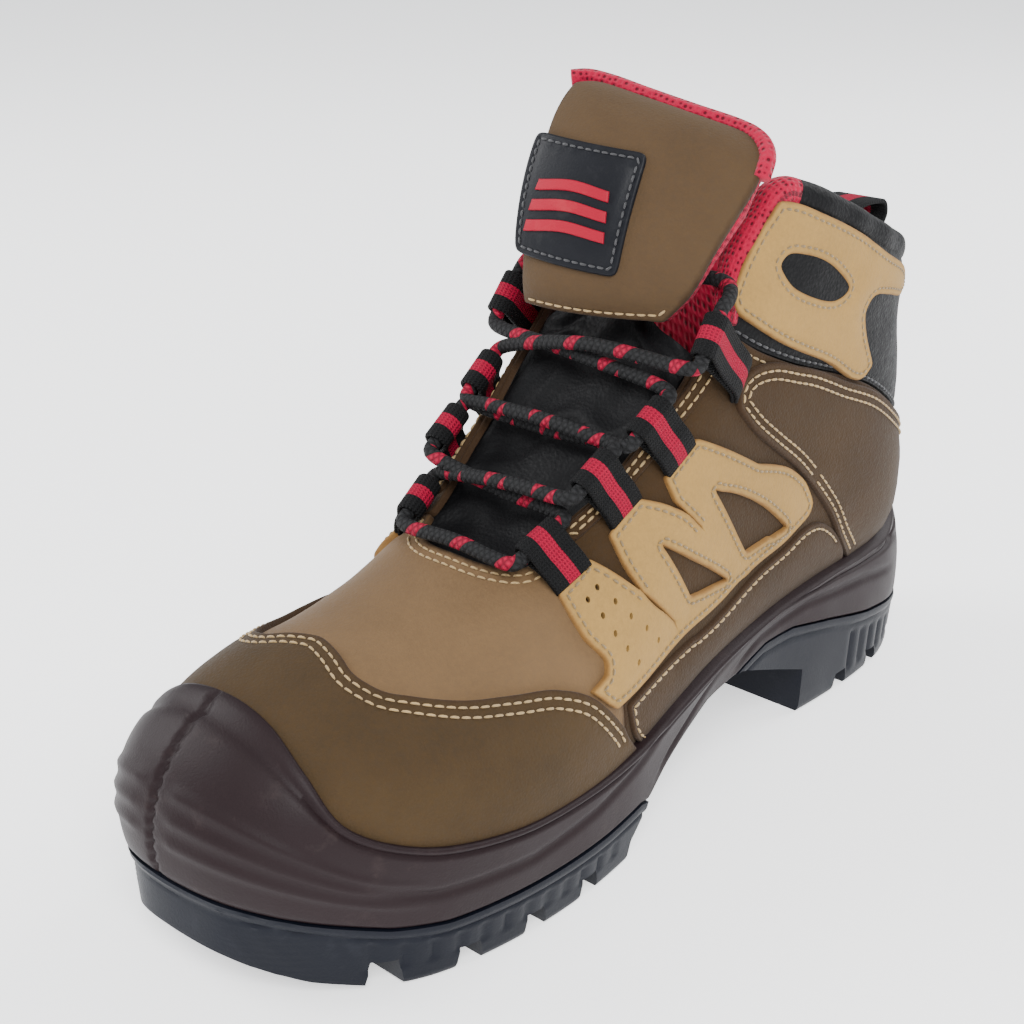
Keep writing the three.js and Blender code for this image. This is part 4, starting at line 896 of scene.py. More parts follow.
EYESTAY = [
    (7.5, 0.137), (8.24, 0.173), (8.9, 0.189), (9.6, 0.211), (10.8, 0.251), (11.7, 0.259), (12.4, 0.262),
    (12.3, 0.3), (11.5, 0.296), (10.8, 0.288), (9.6, 0.25), (8.9, 0.228), (8.24, 0.208), (7.6, 0.178),
    (7.44, 0.168),
]
COLLAR = QUARTER_TOP[::-1] + [(12.8, 0.262), (14.2, 0.25), (16.5, 0.262), (18.3, 0.276), (18.62, 0.3),
                              (18.5, 0.42),
                             (18.3, 0.6), (18.38, 0.8), (18.6, 1)]
COLLAR_PANEL = [
    (13.65, 0.28), (13.87, 0.374), (14.4, 0.465), (14.75, 0.528), (15.23, 0.556), (15.78, 0.533),
    (16.28, 0.524), (16.78, 0.543),
    (17.1, 0.6), (17.4, 0.71), (17.66, 0.75), (17.9, 0.7), (18.02, 0.56), (18.14, 0.5), (18.24, 0.395),
    (18.24, 0.32),
    (18.14, 0.288), (16.75, 0.272), (14.94, 0.26), (14.0, 0.262),
]
COLLAR_SLOT = [
    (16.65, 0.347), (16.93, 0.388), (16.93, 0.465), (16.71, 0.49), (16.32, 0.477), (15.82, 0.418),
    (15.79, 0.367), (16.17, 0.336),
]

# ---------------------------------------------------------------- stitching


def rows_inside(surface, outline, insets, keep=lambda u, v: True, rounds=2, corner=48):
    """Stitch rows that follow an outline inside its edge, cut where keep says no."""
    loop = outline_loop(surface, outline, rounds, corner)
    rows = []
    for inset in insets:
        best = max((shifted(surface, loop, side * inset, closed=True) for side in (1, -1)),
                   key=lambda line: inside(line, loop).sum() if len(line) else -1)
        best = best[inside(best, loop)]
        points = surface.point(best)
        u, v = surface.to_uv(best)
        good = np.array([keep(a, b) for a, b in zip(u, v)])
        run = []
        for k in range(len(best)):
            apart = bool(run) and np.linalg.norm(points[k] - points[run[-1]]) > 3.5
            if run and (apart or not good[k]):
                if len(run) > 6:
                    rows.append(best[run])
                run = []
            if good[k]:
                run.append(k)
        if len(run) > 6:
            rows.append(best[run])
    return [resample(row, 1.0, surface.point(row)) for row in rows]


def row_round(window, away):
    """A stitch row round the outside of an opening."""
    moved = max((shifted(UPPER, window, side * away, closed=True) for side in (1, -1)),
                key=lambda line: (~inside(line, window)).sum())
    closed = np.vstack([moved, moved[:1]])
    return resample(closed, 1.0, UPPER.point(closed))


THREAD_RADIUS = 0.36


class Thread:
    """Gathers stitches and makes them one mesh."""

    def __init__(self):
        self.vertices, self.faces = [], []

    def sew(self, surface, rows, height, pitch=None, length=None, radius=THREAD_RADIUS):
        pitch, length = pitch or SIZES["stitch_pitch"], length or SIZES["stitch_length"]
        for row in rows:
            points = surface.point(row)
            run = run_length(points)
            count = int(run[-1] / pitch)
            if count < 2:
                continue
            at = (np.arange(count) + 0.5) * run[-1] / count
            q = np.stack([np.interp(at, run, row[:, k]) for k in range(2)], -1)
            low = np.stack([np.interp(at - 0.5 * length, run, row[:, k]) for k in range(2)], -1)
            high = np.stack([np.interp(at + 0.5 * length, run, row[:, k]) for k in range(2)], -1)
            centre, normal = surface.place(q, height + 0 * at), surface.normal(q)
            way = unit_rows(surface.point(high) - surface.point(low))
            self.add(centre, way, normal, length, radius)

    def add(self, centre, way, normal, length, radius):
        side = np.cross(normal, way)
        for c, w, n, s in zip(centre, way, normal, side):
            start = len(self.vertices)
            for share, wide, sunk in ((-0.5, 0.35, 0.8), (-0.36, 0.9, 0.25), (0, 1.08, 0), (0.36, 0.9, 0.25),
                                      (0.5, 0.35, 0.8)):
                middle = c + w * share * length - n * sunk * radius
                for k in range(6):
                    angle = math.pi * k / 3
                    self.vertices.append(middle + radius * wide * (math.cos(angle) * s + math.sin(angle) * n))
            for ring in range(4):
                for k in range(6):
                    a, b = start + ring * 6 + k, start + ring * 6 + (k + 1) % 6
                    self.faces.append((b, a, a + 6, b + 6))
            self.faces.append(tuple(start + k for k in range(6)))
            self.faces.append(tuple(start + 24 + k for k in reversed(range(6))))

    def finish(self, name, body, material):
        if not self.vertices:
            raise RuntimeError(f"{name} has no stitches")
        return finish(new_object(name, self.vertices, self.faces), material, body)


BOOT_THREAD, TAN_THREAD, BOOT_DARK_THREAD, TONGUE_THREAD = Thread(), Thread(), Thread(), Thread()
FINE = {"pitch": 2.6, "length": 1.9}


def holes_at(surface, places, radius):
    """Small round holes as flat loops, each given by its place (u, v)."""
    loops = []
    for u, v in places:
        q = surface.to_flat((u, v))
        d0, d1 = surface.slopes(q[None])
        a, b = np.linalg.norm(d0), np.linalg.norm(d1)
        angle = np.arange(10) * math.pi / 5
        loops.append(q + radius * np.stack([np.cos(angle) / a, np.sin(angle) / b], -1))
    return loops


def sides(line, medial):
    """An outline for the lateral side, or its mirror for the medial side."""
    return mirror(line) if medial else list(line)


OVER_TOP, OVER_BOTTOM = 1.75, -0.25


def above_sole(u, v):
    """Whether a place on the upper is clear of the sole's lip."""
    edge = np.interp(u, [2, 4, 7, 10, 12, 14, 15], [0.4, 0.5, 0.545, 0.66, 0.72, 0.9, 1.2])
    return abs(v) < edge


# ---------------------------------------------------------------- leather pieces


def make_vamp():
    """Front leather, sewn double round the throat."""
    def throat(u, v):
        return u > 5.2 and abs(v) < 0.2

    rows = rows_inside(UPPER, VAMP, (2.4, 4.8), throat)
    obj = panel("vamp", UPPER, VAMP, -2.0, 0.0, 0.6, rows=rows, grid=3.0,
                relief=lambda flat, base, d: 0.22 * creases(flat, base))
    BOOT_THREAD.sew(UPPER, rows, -0.06)
    finish(obj, MATERIALS["vamp"], "boot", ["vamp"])


def creases(flat, base):
    """Faint folds across the vamp where the foot bends."""
    out = np.zeros(len(flat))
    u = UPPER.to_uv(flat)[0]
    for centre, width in ((4.6, 0.35), (5.25, 0.3), (5.9, 0.3)):
        out -= np.exp(-((u - centre - 0.1 * np.sin(flat[:, 1] * 0.09 + centre)) / width) ** 2)
    return out


def make_toe_guard():
    """Olive leather over the toe with its wavy double-sewn edge."""
    rows = rows_inside(UPPER, TOE_GUARD, (2.3, 4.9), lambda u,
                       v: above_sole(u, v) and abs(v) < 0.52 and u > 3)
    obj = panel("toe_guard", UPPER, TOE_GUARD, OVER_BOTTOM, OVER_TOP, 0.8, rows=rows, grid=3.0)
    BOOT_THREAD.sew(UPPER, rows, OVER_TOP - 0.05)
    finish(obj, MATERIALS["guard"], "boot", ["toe_guard"])


PERFORATIONS = [
    (7.29, 0.262), (7.07, 0.259), (7.41, 0.312), (7.13, 0.304), (7.54, 0.361), (7.18, 0.349), (7.75, 0.41),
    (7.29, 0.393),
    (7.93, 0.45), (7.44, 0.437),
]


def make_sides():
    """Quarter, foxing, tan panel, eyestay and collar panel of each side."""
    for medial in (False, True):
        side = "medial" if medial else "lateral"
        sign = -1 if medial else 1
        quarter = sides(QUARTER, medial)
        rows = rows_inside(UPPER, quarter, (2.4,), lambda u, v: 12.6 < u < 15 and abs(v) < 0.5)
        obj = panel(f"quarter_{side}", UPPER, quarter, -2.0, 0.0, 0.6, rows=rows, grid=3.0)
        BOOT_THREAD.sew(UPPER, rows, -0.06)
        finish(obj, MATERIALS["brown"], "boot", [f"quarter_{side}"])

        foxing = sides(FOXING, medial)
        rows = rows_inside(UPPER, foxing, (1.9,), lambda u, v: abs(v) < 0.62)
        obj = panel(f"foxing_{side}", UPPER, foxing, OVER_BOTTOM, 1.4, 0.7, rows=rows, grid=3.0)
        BOOT_THREAD.sew(UPPER, rows, 1.35)
        finish(obj, MATERIALS["brown"], "boot", [f"foxing_{side}"])

        overlay = sides(SIDE_OVERLAY, medial)
        windows = [outline_loop(UPPER, sides(window, medial), rounds=1, corner=12) for window in SIDE_WINDOWS]
        rows = rows_inside(UPPER, overlay, (2.1,), corner=26, rounds=1)
        rows += [row_round(window, 2.1) for window in windows]
        pricks = holes_at(UPPER, [(u, sign * v) for u, v in PERFORATIONS], 0.8)
        obj = panel(f"side_overlay_{side}", UPPER, overlay, OVER_BOTTOM, OVER_TOP, 0.6,
                    holes=windows + pricks,
                    rows=rows, grid=2.6, rounds=1, corner=26)
        TAN_THREAD.sew(UPPER, rows, OVER_TOP - 0.1, **FINE)
        finish(obj, MATERIALS["tan"], "boot", [f"side_overlay_{side}"])

        stay = sides(EYESTAY, medial)
        rows = rows_inside(UPPER, stay, (1.5,), lambda u, v: True)
        obj = panel(f"eyestay_{side}", UPPER, stay, OVER_BOTTOM, 1.5, 0.6, rows=rows, grid=2.2)
        BOOT_THREAD.sew(UPPER, rows, 1.45)
        finish(obj, MATERIALS["brown"], "boot", [f"eyestay_{side}"])

        patch = sides(COLLAR_PANEL, medial)
        slot = outline_loop(UPPER, sides(COLLAR_SLOT, medial))
        rows = rows_inside(UPPER, patch, (2.2,), lambda u, v: True)
        rows.append(row_round(slot, 2.3))
        obj = panel(f"collar_panel_{side}", UPPER, patch, OVER_BOTTOM, OVER_TOP + 0.1, 0.8, holes=[slot],
                    rows=rows,
                    grid=2.6, relief=lambda flat, base, d: 1.1 * padded_rise(flat, d))
        TAN_THREAD.sew(UPPER, rows, OVER_TOP + 0.05, **FINE)
        finish(obj, MATERIALS["tan"], "boot", [f"collar_panel_{side}"])


def padded_rise(flat, d):
    """How much the collar's filling lifts the leather above it: none at seams."""
    u = UPPER.to_uv(flat)[0]
    soft = np.clip((u - 14.2) / 1.5, 0, 1)
    return soft * (1 - np.exp(-np.maximum(d - 1.0, 0) / 6.0))


def make_counter():
    """Heel counter that wraps from one side round to the other."""
    outline = round_the_back(COUNTER)
    rows = rows_inside(UPPER, outline, (2.3, 4.8), lambda u, v: min(v, 2 - v) < 0.7 or u > 13.2)
    obj = panel("counter_overlay", UPPER, outline, OVER_BOTTOM, OVER_TOP, 0.8, rows=rows, grid=3.0)
    BOOT_THREAD.sew(UPPER, rows, OVER_TOP - 0.05)
    finish(obj, MATERIALS["brown"], "boot", ["counter_overlay"])


def make_collar():
    """The padded black leather round the top, its filling, and the soft roll along its edge."""
    outline = round_the_back(COLLAR)
    rows = rows_inside(UPPER, outline, (1.8,), lambda u, v: u < 15.3 and u > 12.9)

    def puff(flat, base, d):
        u, v = UPPER.to_uv(flat)
        seam = np.exp(-((v - 1) / 0.012) ** 2) * np.clip((u - 15) / 0.6, 0, 1)
        wrinkle = np.array([noise.fractal(Vector((p[0] * 0.055, p[1] * 0.055, p[2] * 0.12)), 0.8, 2.1, 3)
                            for p in base])
        return 1.5 * padded_rise(flat, d) + 0.45 * wrinkle * np.clip((u - 14) / 2, 0, 1) - 0.8 * seam

    obj = panel("collar_leather", UPPER, outline, -2.0, 0.0, 0.9, rows=rows, grid=2.4, relief=puff)
    BOOT_DARK_THREAD.sew(UPPER, rows, -0.06)
    finish(obj, MATERIALS["black"], "boot", ["collar_leather"])
    make_collar_roll()


def make_collar_roll():
    """A rounded roll that closes the collar, in black leather behind and red mesh at the front edges."""
    outer, inner = 1.2, -10.2
    path = [(12.9, 0.262), (13.6, 0.254), (14.4, 0.25), (16, 0.256), (17.6, 0.268), (18.35, 0.278),
            (18.7, 0.3), (18.78, 0.35),
            (18.72, 0.45), (18.58, 0.6), (18.66, 0.8)]
    whole = path + [(18.85, 1)] + [(u, 2 - v) for u, v in reversed(path)]
    line = line_through(UPPER.to_flat(whole), 1.5, corner=NO_CORNER)
    q = resample(line, 1.5, UPPER.point(line))
    p = UPPER.point(q)
    u, v = UPPER.to_uv(q)
    along = unit_rows(np.gradient(p, axis=0))
    n = UPPER.normal(q)
    out = unit_rows(np.cross(along, n))
    if out[len(out) // 2][2] < 0:
        out = -out
    length = run_length(p)
    soft = np.minimum(1, np.minimum(length, length[-1] - length) / 22)
    thick = np.interp(soft, [0, 1], [3.2, outer - inner])
    around = 26
    vertices, uvs = [], []
    for k in range(len(q)):
        centre = p[k] + n[k] * (outer - 0.5 * thick[k]) - out[k] * 2.0
        pull = 1 - 0.05 * math.cos(length[k] * 0.35)
        for j in range(around):
            angle = 2 * math.pi * j / around
            c, s = math.cos(angle), math.sin(angle)
            wide = 0.5 * thick[k] * pull * math.copysign(abs(c) ** 0.8, c)
            tall = (3.6 + 1.2 * soft[k]) * math.copysign(abs(s) ** 0.8, s)
            vertices.append(centre + n[k] * wide + out[k] * tall)
            uvs.append((length[k] * 0.01, j / around * 0.4))
    obj = new_object("collar_roll", vertices, capped_faces(len(q), around))
    face_outwards(obj, merge=True)
    set_uv(obj, uvs)
    finish(obj, MATERIALS["black"], "boot", ["collar_foam"])
    obj.data.materials.append(MATERIALS["knit"])
    ring = [min(len(q) - 1, f.vertices[0] // around) for f in obj.data.polygons]
    inner_side = [8 <= f.vertices[0] % around <= 17 for f in obj.data.polygons]
    back = [0.325 < v[k] < 1.675 and u[k] > 17.6 for k in ring]
    obj.data.polygons.foreach_set("material_index",
                                  [0 if b and not i else 1 for b, i in zip(back, inner_side)])
    subdivide(obj, 1)


def subdivide(obj, levels):
    modifier = obj.modifiers.new("Subdivision", "SUBSURF")
    modifier.levels = modifier.render_levels = levels
    apply_modifiers(obj)


LINING_START = 7.05


def make_lining():
    """Red mesh inside the shaft."""
    us = [LINING_START, 8.3, 9.6, 10.6, 11.7, 12.2, 12.8, 13.6, 14.2, 15, 16, 17, 18, 18.94]
    front = [0.16, 0.19, 0.222, 0.246, 0.27, 0.275, 0.28, 0.279, 0.278, 0.276, 0.274, 0.272, 0.27, 0.268]
    vertices, faces = [], []
    half = 36
    fine = np.linspace(LINING_START, 18.3, 70)
    for u in fine:
        first = np.interp(u, us, front)
        last = 1.0 if u >= 12.6 else np.interp(u, [LINING_START, 10.5, 12, 12.6], [0.69, 0.69, 0.84, 1.0])
        shift = -4.9 - 4.3 * np.clip((u - 12.7) / 1.3, 0, 1)
        for side in (1, -1):
            for k in range(half):
                t = k / (half - 1)
                vertices.append((u, side * (first + (last - first) * t), shift))
    q = np.array([UPPER.to_flat((u, v)) for u, v, _ in vertices])
    points = UPPER.place(q, np.array([h for *_, h in vertices]))
    for r in range(len(fine) - 1):
        for side in range(2):
            for k in range(half - 1):
                a = (r * 2 + side) * half + k
                b = ((r + 1) * 2 + side) * half + k
                face = (a, a + 1, b + 1, b)
                faces.append(face if side else face[::-1])
    obj = new_object("shaft_lining", points, faces)
    set_uv(obj, q * 0.01)
    modifier = obj.modifiers.new("Thickness", "SOLIDIFY")
    modifier.thickness, modifier.offset = 0.001, 1.0
    apply_modifiers(obj)
    finish(obj, MATERIALS["knit"], "boot", ["quarter_lining"])


def make_gusset():
    """Thin folded leather between the two sides, under the laces."""
    def sink(u, v):
        half = np.interp(u, [7, 11], [0.13, 0.25])
        ease = lambda t: (lambda s: s * s * (3 - 2 * s))(np.clip(t, 0, 1))
        return (4 * ease((u - 6.5) / 0.9) + 4 * ease((u - 8.5) / 2)) * np.maximum(0, 1 - (v / half) ** 2)

    side_u, side_v = [6.15, 6.9, 8.24, 9.6, 11, 12], [0.1, 0.15, 0.185, 0.215, 0.25, 0.26]
    rows, columns = 130, 90
    us = np.linspace(6.15, 11.35, rows)
    grid_u, grid_t = np.meshgrid(us, np.linspace(-1, 1, columns), indexing="ij")
    grid_v = grid_t * np.interp(grid_u, side_u, side_v)
    flat = UPPER.to_flat(np.stack([grid_u, grid_v], -1))
    base = UPPER.point(flat)
    fold = np.zeros_like(grid_u)
    for i in range(rows):
        for j in range(columns):
            p = base[i, j]
            along = grid_u[i, j] * 1.3 + 1.6 * noise.noise(Vector((p[0] * 0.05, p[1] * 0.05, p[2] * 0.05)))
            fold[i, j] = math.sin(along * 4.2 + 2.2 * abs(grid_t[i, j])) * (1 - grid_t[i, j] ** 6)
    puffed = 2.2 * np.exp(-((np.abs(grid_t) - 0.8) / 0.14) ** 2) * np.clip((grid_u - 7) / 1.2, 0, 1)
    ridges = 0.9 * fold * np.clip((grid_u - 6.4) / 0.8, 0, 1)
    height = -2.5 - 1.25 * sink(grid_u, grid_v) + ridges + puffed * 0.6
    top = UPPER.place(flat, height)
    bottom = UPPER.place(flat, height - 1.1)
    count = rows * columns
    vertices = np.vstack([top.reshape(-1, 3), bottom.reshape(-1, 3)])
    index = np.arange(count).reshape(rows, columns)
    faces = []
    for i in range(rows - 1):
        for j in range(columns - 1):
            a, b, c, d = index[i, j], index[i, j + 1], index[i + 1, j + 1], index[i + 1, j]
            faces.append((a, d, c, b))
            faces.append((a + count, b + count, c + count, d + count))
    rim = [*index[0], *index[1:, -1], *index[-1, -2::-1], *index[-2:0:-1, 0]]
    faces += [(rim[k], rim[(k + 1) % len(rim)], rim[(k + 1) % len(rim)] + count, rim[k] + count)
              for k in range(len(rim))]
    obj = new_object("tongue_gusset", vertices, faces)
    face_outwards(obj, merge=True)
    finish(obj, MATERIALS["black"], "boot", ["tongue_gusset"])


# ---------------------------------------------------------------- tongue


def tongue_pad_shape(front, back, u_start, u_end, power=2.6, rows=54, around=72):
    """A closed pillow on the tongue's sheet between two heights."""
    vertices, uvs = [], []
    middle, half = 0.5 * (front + back), 0.5 * (front - back)
    ends = 9.0
    span = (u_end - u_start) * 11.5
    for k in range(rows):
        s = 0.5 - 0.5 * math.cos(math.pi * k / (rows - 1))
        away = min(s, 1 - s) * span
        fall = 1.0 if away >= ends else math.sqrt(max(0.0, 1 - (1 - away / ends) ** 2.4))
        fall = max(fall, 0.06)
        u = u_start + (u_end - u_start) * s
        for j in range(around):
            angle = 2 * math.pi * j / around
            c, sn = math.cos(angle), math.sin(angle)
            v = math.copysign(abs(c) ** 0.4, c) * (0.95 + 0.035 * fall)
            v *= 1.0 if v > 0 else np.interp(u, [0, 1, 2.4, 3.7, 5.1, 6], [0.62, 0.58, 0.53, 0.56, 0.66, 0.6])
            v *= np.interp(u, [0, 1, 2.8, 4.5, 5.3, 6], [1.14, 1.24, 1.28, 1.2, 0.98, 0.8]) if v > 0 else 1.0
            h = middle + half * fall * math.copysign(abs(sn) ** (2 / power), sn)
            vertices.append((u, v, h))
            uvs.append((s * span * 0.01, j / around * 1.6))
    q = np.array([TONGUE.to_flat((u, v)) for u, v, _ in vertices])
    points = TONGUE.place(q, np.array([h for *_, h in vertices]))
    return points, capped_faces(rows, around), uvs


def make_tongue():
    """Padded tongue with its cover, red rim, label and raised stripes."""
    points, faces, uvs = tongue_pad_shape(-0.4, -12.0, 0.24, 5.9)
    obj = new_object("tongue_lining", points, faces)
    face_outwards(obj, merge=True)
    set_uv(obj, uvs[:len(obj.data.vertices)])
    finish(obj, MATERIALS["knit"], "tongue", ["tongue_lining"])

    cover = [(0.3, -0.6), (0.28, 0.2), (0.34, 1.1), (0.94, 1.2), (1.96, 1.22), (2.8, 1.23), (3.6, 1.23),
             (4.5, 1.14), (5.0, 0.99),
             (5.35, 0.74), (5.58, 0.35), (5.62, -0.1), (5.45, -0.44), (5.1, -0.56), (3.74, -0.48),
             (2.4, -0.46), (1.2, -0.52)]

    def swell(flat, base, d):
        u, v = TONGUE.to_uv(flat)
        label = np.exp(-(((u - 2.3) / 1.5) ** 2 + ((v + 0.1) / 0.75) ** 2))
        wave = np.array([noise.fractal(Vector((p[0] * 0.04, p[1] * 0.04, p[2] * 0.05)), 0.8, 2.0, 2)
                         for p in base])
        return 2.3 * (1 - np.exp(-np.maximum(d - 0.5,
                                             0) / 6.5)) + 0.35 * wave - 0.9 * label * (1 - np.exp(-d / 5))

    rows = rows_inside(TONGUE, cover, (2.4,), lambda u, v: u < 0.75)
    obj = panel("tongue_pad", TONGUE, cover, -2.2, 0.1, 1.4, rows=rows, grid=2.0, relief=swell)
    TONGUE_THREAD.sew(TONGUE, rows, 0.62)
    finish(obj, MATERIALS["tongue"], "tongue", ["tongue_pad"])

    rim = [(3.7, 1.24), (4.4, 1.18), (4.95, 1.06), (5.4, 0.84), (5.68, 0.46), (5.78, 0), (5.7, -0.36),
           (5.5, -0.54), (5.2, -0.63)]
    q = line_through(TONGUE.to_flat(rim), 1.0, corner=NO_CORNER)
    path = resample(TONGUE.place(q, -0.5 + 0 * q[:, 0]), 1.2)
    obj = tube("tongue_rim", path, 2.5, 20)
    scale_uv(obj, 0.01, 0.16)
    finish(obj, MATERIALS["knit"], "tongue", [])

    box = [(1.4, -0.53), (3.55, -0.5), (3.7, 0.46), (1.3, 0.55)]
    rows = rows_inside(TONGUE, box, (2.0,), lambda u, v: True, rounds=5)
    obj = panel("tongue_label", TONGUE, box, 0.6, 3.0, 0.7, rows=rows, grid=1.8, rounds=5,
                relief=label_relief)
    finish(obj, MATERIALS["label"], "tongue", ["tongue_label"])
    stitches = Thread()
    stitches.sew(TONGUE, rows, 2.95, pitch=2.4, length=1.9, radius=0.32)
    stitches.finish("label_stitching", "tongue", MATERIALS["dark"])

    bars = []
    for k in range(3):
        u0 = 1.78 + 0.36 * k
        bars.append([(u0, -0.4 + 0.03 * k), (u0 + 0.2, -0.38 + 0.03 * k), (u0 + 0.34, 0),
                     (u0 + 0.28, 0.36 - 0.03 * k),
                     (u0 + 0.08, 0.38 - 0.03 * k), (u0 + 0.14, 0)])
    made = [panel(f"label_emblem_{k + 1}", TONGUE, bar, 2.6, 3.7, 0.35, grid=1.2, rounds=0) for k,
            bar in enumerate(bars)]
    select_only(made[0])
    for other in made[1:]:
        other.select_set(True)
    bpy.ops.object.join()
    made[0].name = "label_emblem_shown"
    finish(made[0], MATERIALS["emblem"], "tongue", ["label_emblem"])


def scale_uv(obj, along, across):
    """Bring a tube's UV to the scale that the knit expects."""
    for corner in obj.data.uv_layers.active.data:
        corner.uv = (corner.uv[0] * along, corner.uv[1] * across)


def label_relief(flat, base, d):
    """A raised line a few millimetres inside the label's edge."""
    return 0.35 * np.exp(-((d - 3.9) / 0.45) ** 2)


# ---------------------------------------------------------------- webbing loops and lace

LOOPS = [((7.12, 0.128), (7.1, 0.192), 0.2), ((8.26, 0.152), (8.28, 0.222), 3.4),
         ((9.46, 0.19), (9.5, 0.272), 1.4), ((11.42, 0.222), (11.72, 0.334), 5.0)]
LOOP_INNER, LOOP_WALL, LOOP_SEAT = 2.45, 1.3, 2.1
TIP_LENGTH = 12.0


def seat(u, v, h):
    """A single point at a height over the upper."""
    return UPPER.place(UPPER.to_flat((u, v))[None], np.array([h]))[0]


def loop_frame(loop, side):
    """Where a loop's eye is and which way its tails, width and outside point."""
    (u, v), (tail_u, tail_v), lift = loop
    centre = seat(u, side * v, LOOP_SEAT + LOOP_INNER + LOOP_WALL + lift)
    foot = seat(tail_u, side * tail_v, LOOP_SEAT + LOOP_WALL + 0.4)
    back = foot - centre
    width = seat(u + 0.3, side * v, 0) - seat(u - 0.3, side * v, 0)
    width = unit(width - back * np.dot(width, back) / np.dot(back, back))
    length = np.linalg.norm(back)
    back = back / length
    out = np.cross(width, back)
    normal = UPPER.normal(UPPER.to_flat((u, side * v))[None])[0]
    return {"centre": centre, "back": back, "width": width, "length": length,
            "out": out if np.dot(out, normal) > 0 else -out}


def catmull(points, pieces):
    """Centripetal spline through points, in that many pieces."""
    p = np.asarray(points, float)
    p = np.vstack([2 * p[0] - p[1], p, 2 * p[-1] - p[-2]])
    knots = np.concatenate([[0], np.cumsum(np.sqrt(np.linalg.norm(np.diff(p, axis=0), axis=1)))])
    spans = len(p) - 3
    out = []
    for k in range(pieces + 1):
        x = spans * k / pieces
        i = min(int(x), spans - 1)
        t0, t1, t2, t3 = knots[i:i + 4]
        p0, p1, p2, p3 = p[i:i + 4]
        t = t1 + (x - i) * (t2 - t1)
        a1 = (t1 - t) / (t1 - t0) * p0 + (t - t0) / (t1 - t0) * p1
        a2 = (t2 - t) / (t2 - t1) * p1 + (t - t1) / (t2 - t1) * p2
        a3 = (t3 - t) / (t3 - t2) * p2 + (t - t2) / (t3 - t2) * p3
        b1 = (t2 - t) / (t2 - t0) * a1 + (t - t0) / (t2 - t0) * a2
        b2 = (t3 - t) / (t3 - t1) * a2 + (t - t1) / (t3 - t1) * a3
        out.append((t2 - t) / (t2 - t1) * b1 + (t - t1) / (t2 - t1) * b2)
    return out


def ribbon(name, path, wide, width, thick):
    """A flat tape with rounded edges along a path; wide is its width direction."""
    path = np.asarray(path, float)
    run = run_length(path)
    along = unit_rows(np.gradient(path, axis=0))
    face = unit_rows(np.cross(along, wide))
    half, t = 0.5 * width, 0.5 * thick
    section = [(-half, 0), (-half + 0.15, 0.7 * t), (-half + 0.5, t)]
    section += [(x * half, t) for x in (-0.6, -0.35, -0.15, 0.15, 0.35, 0.6)]
    section += [(half - 0.5, t), (half - 0.15, 0.7 * t), (half, 0), (half - 0.15, -0.7 * t), (half - 0.5, -t)]
    section += [(x * half, -t) for x in (0.6, 0.35, 0.15, -0.15, -0.35, -0.6)]
    section += [(-half + 0.5, -t), (-half + 0.15, -0.7 * t)]
    n = len(section)
    vertices = [path[k] + wide * w + face[k] * h for k in range(len(path)) for w, h in section]
    uvs = [(run[k], w / width + 0.5) for k in range(len(path)) for w, h in section]
    obj = new_object(name, vertices, capped_faces(len(path), n))
    face_outwards(obj)
    set_uv(obj, uvs)
    return obj


def tube(name, path, radius, around=16):
    """A round cord along a path, with its UV along and round it."""
    path = np.asarray(path, float)
    run = run_length(path)
    along = unit_rows(np.gradient(path, axis=0))
    side = unit(np.cross(along[0], [0.3, 0.2, 1.0]))
    vertices, uvs = [], []
    for k in range(len(path)):
        side = unit(side - along[k] * np.dot(side, along[k]))
        other = np.cross(along[k], side)
        for j in range(around + 1):
            angle = 2 * math.pi * j / around
            if j < around:
                vertices.append(path[k] + radius * (math.cos(angle) * side + math.sin(angle) * other))
            uvs.append((run[k], j / around))
    n = around
    obj = new_object(name, vertices, capped_faces(len(path), n))
    face_outwards(obj)
    layer = obj.data.uv_layers.new(name="UVMap")
    for polygon in obj.data.polygons:
        if len(polygon.vertices) != 4:
            for i, v in zip(polygon.loop_indices, polygon.vertices):
                layer.data[i].uv = (run[v // n], 0.5)
            continue
        js = [v % n for v in polygon.vertices]
        wraps = max(js) - min(js) > 1
        for i, v in zip(polygon.loop_indices, polygon.vertices):
            j = n if wraps and v % n == 0 else v % n
            layer.data[i].uv = (run[v // n], j / n)
    return obj


FRAMES = {side: [loop_frame(loop, sign) for loop in LOOPS] for side, sign in (("lateral", 1), ("medial", -1))}


def make_loops():
    """Eight tape loops, each folded round the lace and sewn down at its tails."""
    for side, frames in FRAMES.items():
        for k, frame_ in enumerate(frames):
            length, mid = frame_["length"], LOOP_INNER + 0.5 * LOOP_WALL
            flat = [(length + 3.2, -1.9), (length + 1, -0.6), (length - 2.5, 0.68), (0.5 * length, 1.15)]
            flat += [(mid * math.cos(math.radians(a)), mid * math.sin(math.radians(a)))
                     for a in (64, 95, 130, 165, 195, 230, 265, 296)]
            flat += [(0.5 * length, -1.2), (length - 2.5, -0.72), (length + 1, -1.9), (length + 3.2, -3.1)]
            path = [frame_["centre"] + b * frame_["back"] + o * frame_["out"] for b, o in catmull(flat, 64)]
            obj = ribbon(f"lace_loop_{side}_{k + 1}", path, frame_["width"], SIZES["loop_width"], LOOP_WALL)
            finish(obj, MATERIALS["loop"], "boot", [f"lace_loop_{side}_{k + 1}"])


def leaving(frame_, way):
    """Two points where the lace comes straight out of a loop."""
    return [frame_["centre"] + frame_["width"] * way * reach for reach in (7.5, 9.6)]


def strand(start_frame, start_way, end_frame, end_way, lift):
    """The lace between two loops, lifted at its middle."""
    start, turned = leaving(start_frame, start_way)
    end, turning_ = leaving(end_frame, end_way)
    middle = 0.5 * (turned + turning_) + np.array([0, -0.6, 0.8]) * lift
    return catmull([start, turned, middle, turning_, end], 32)


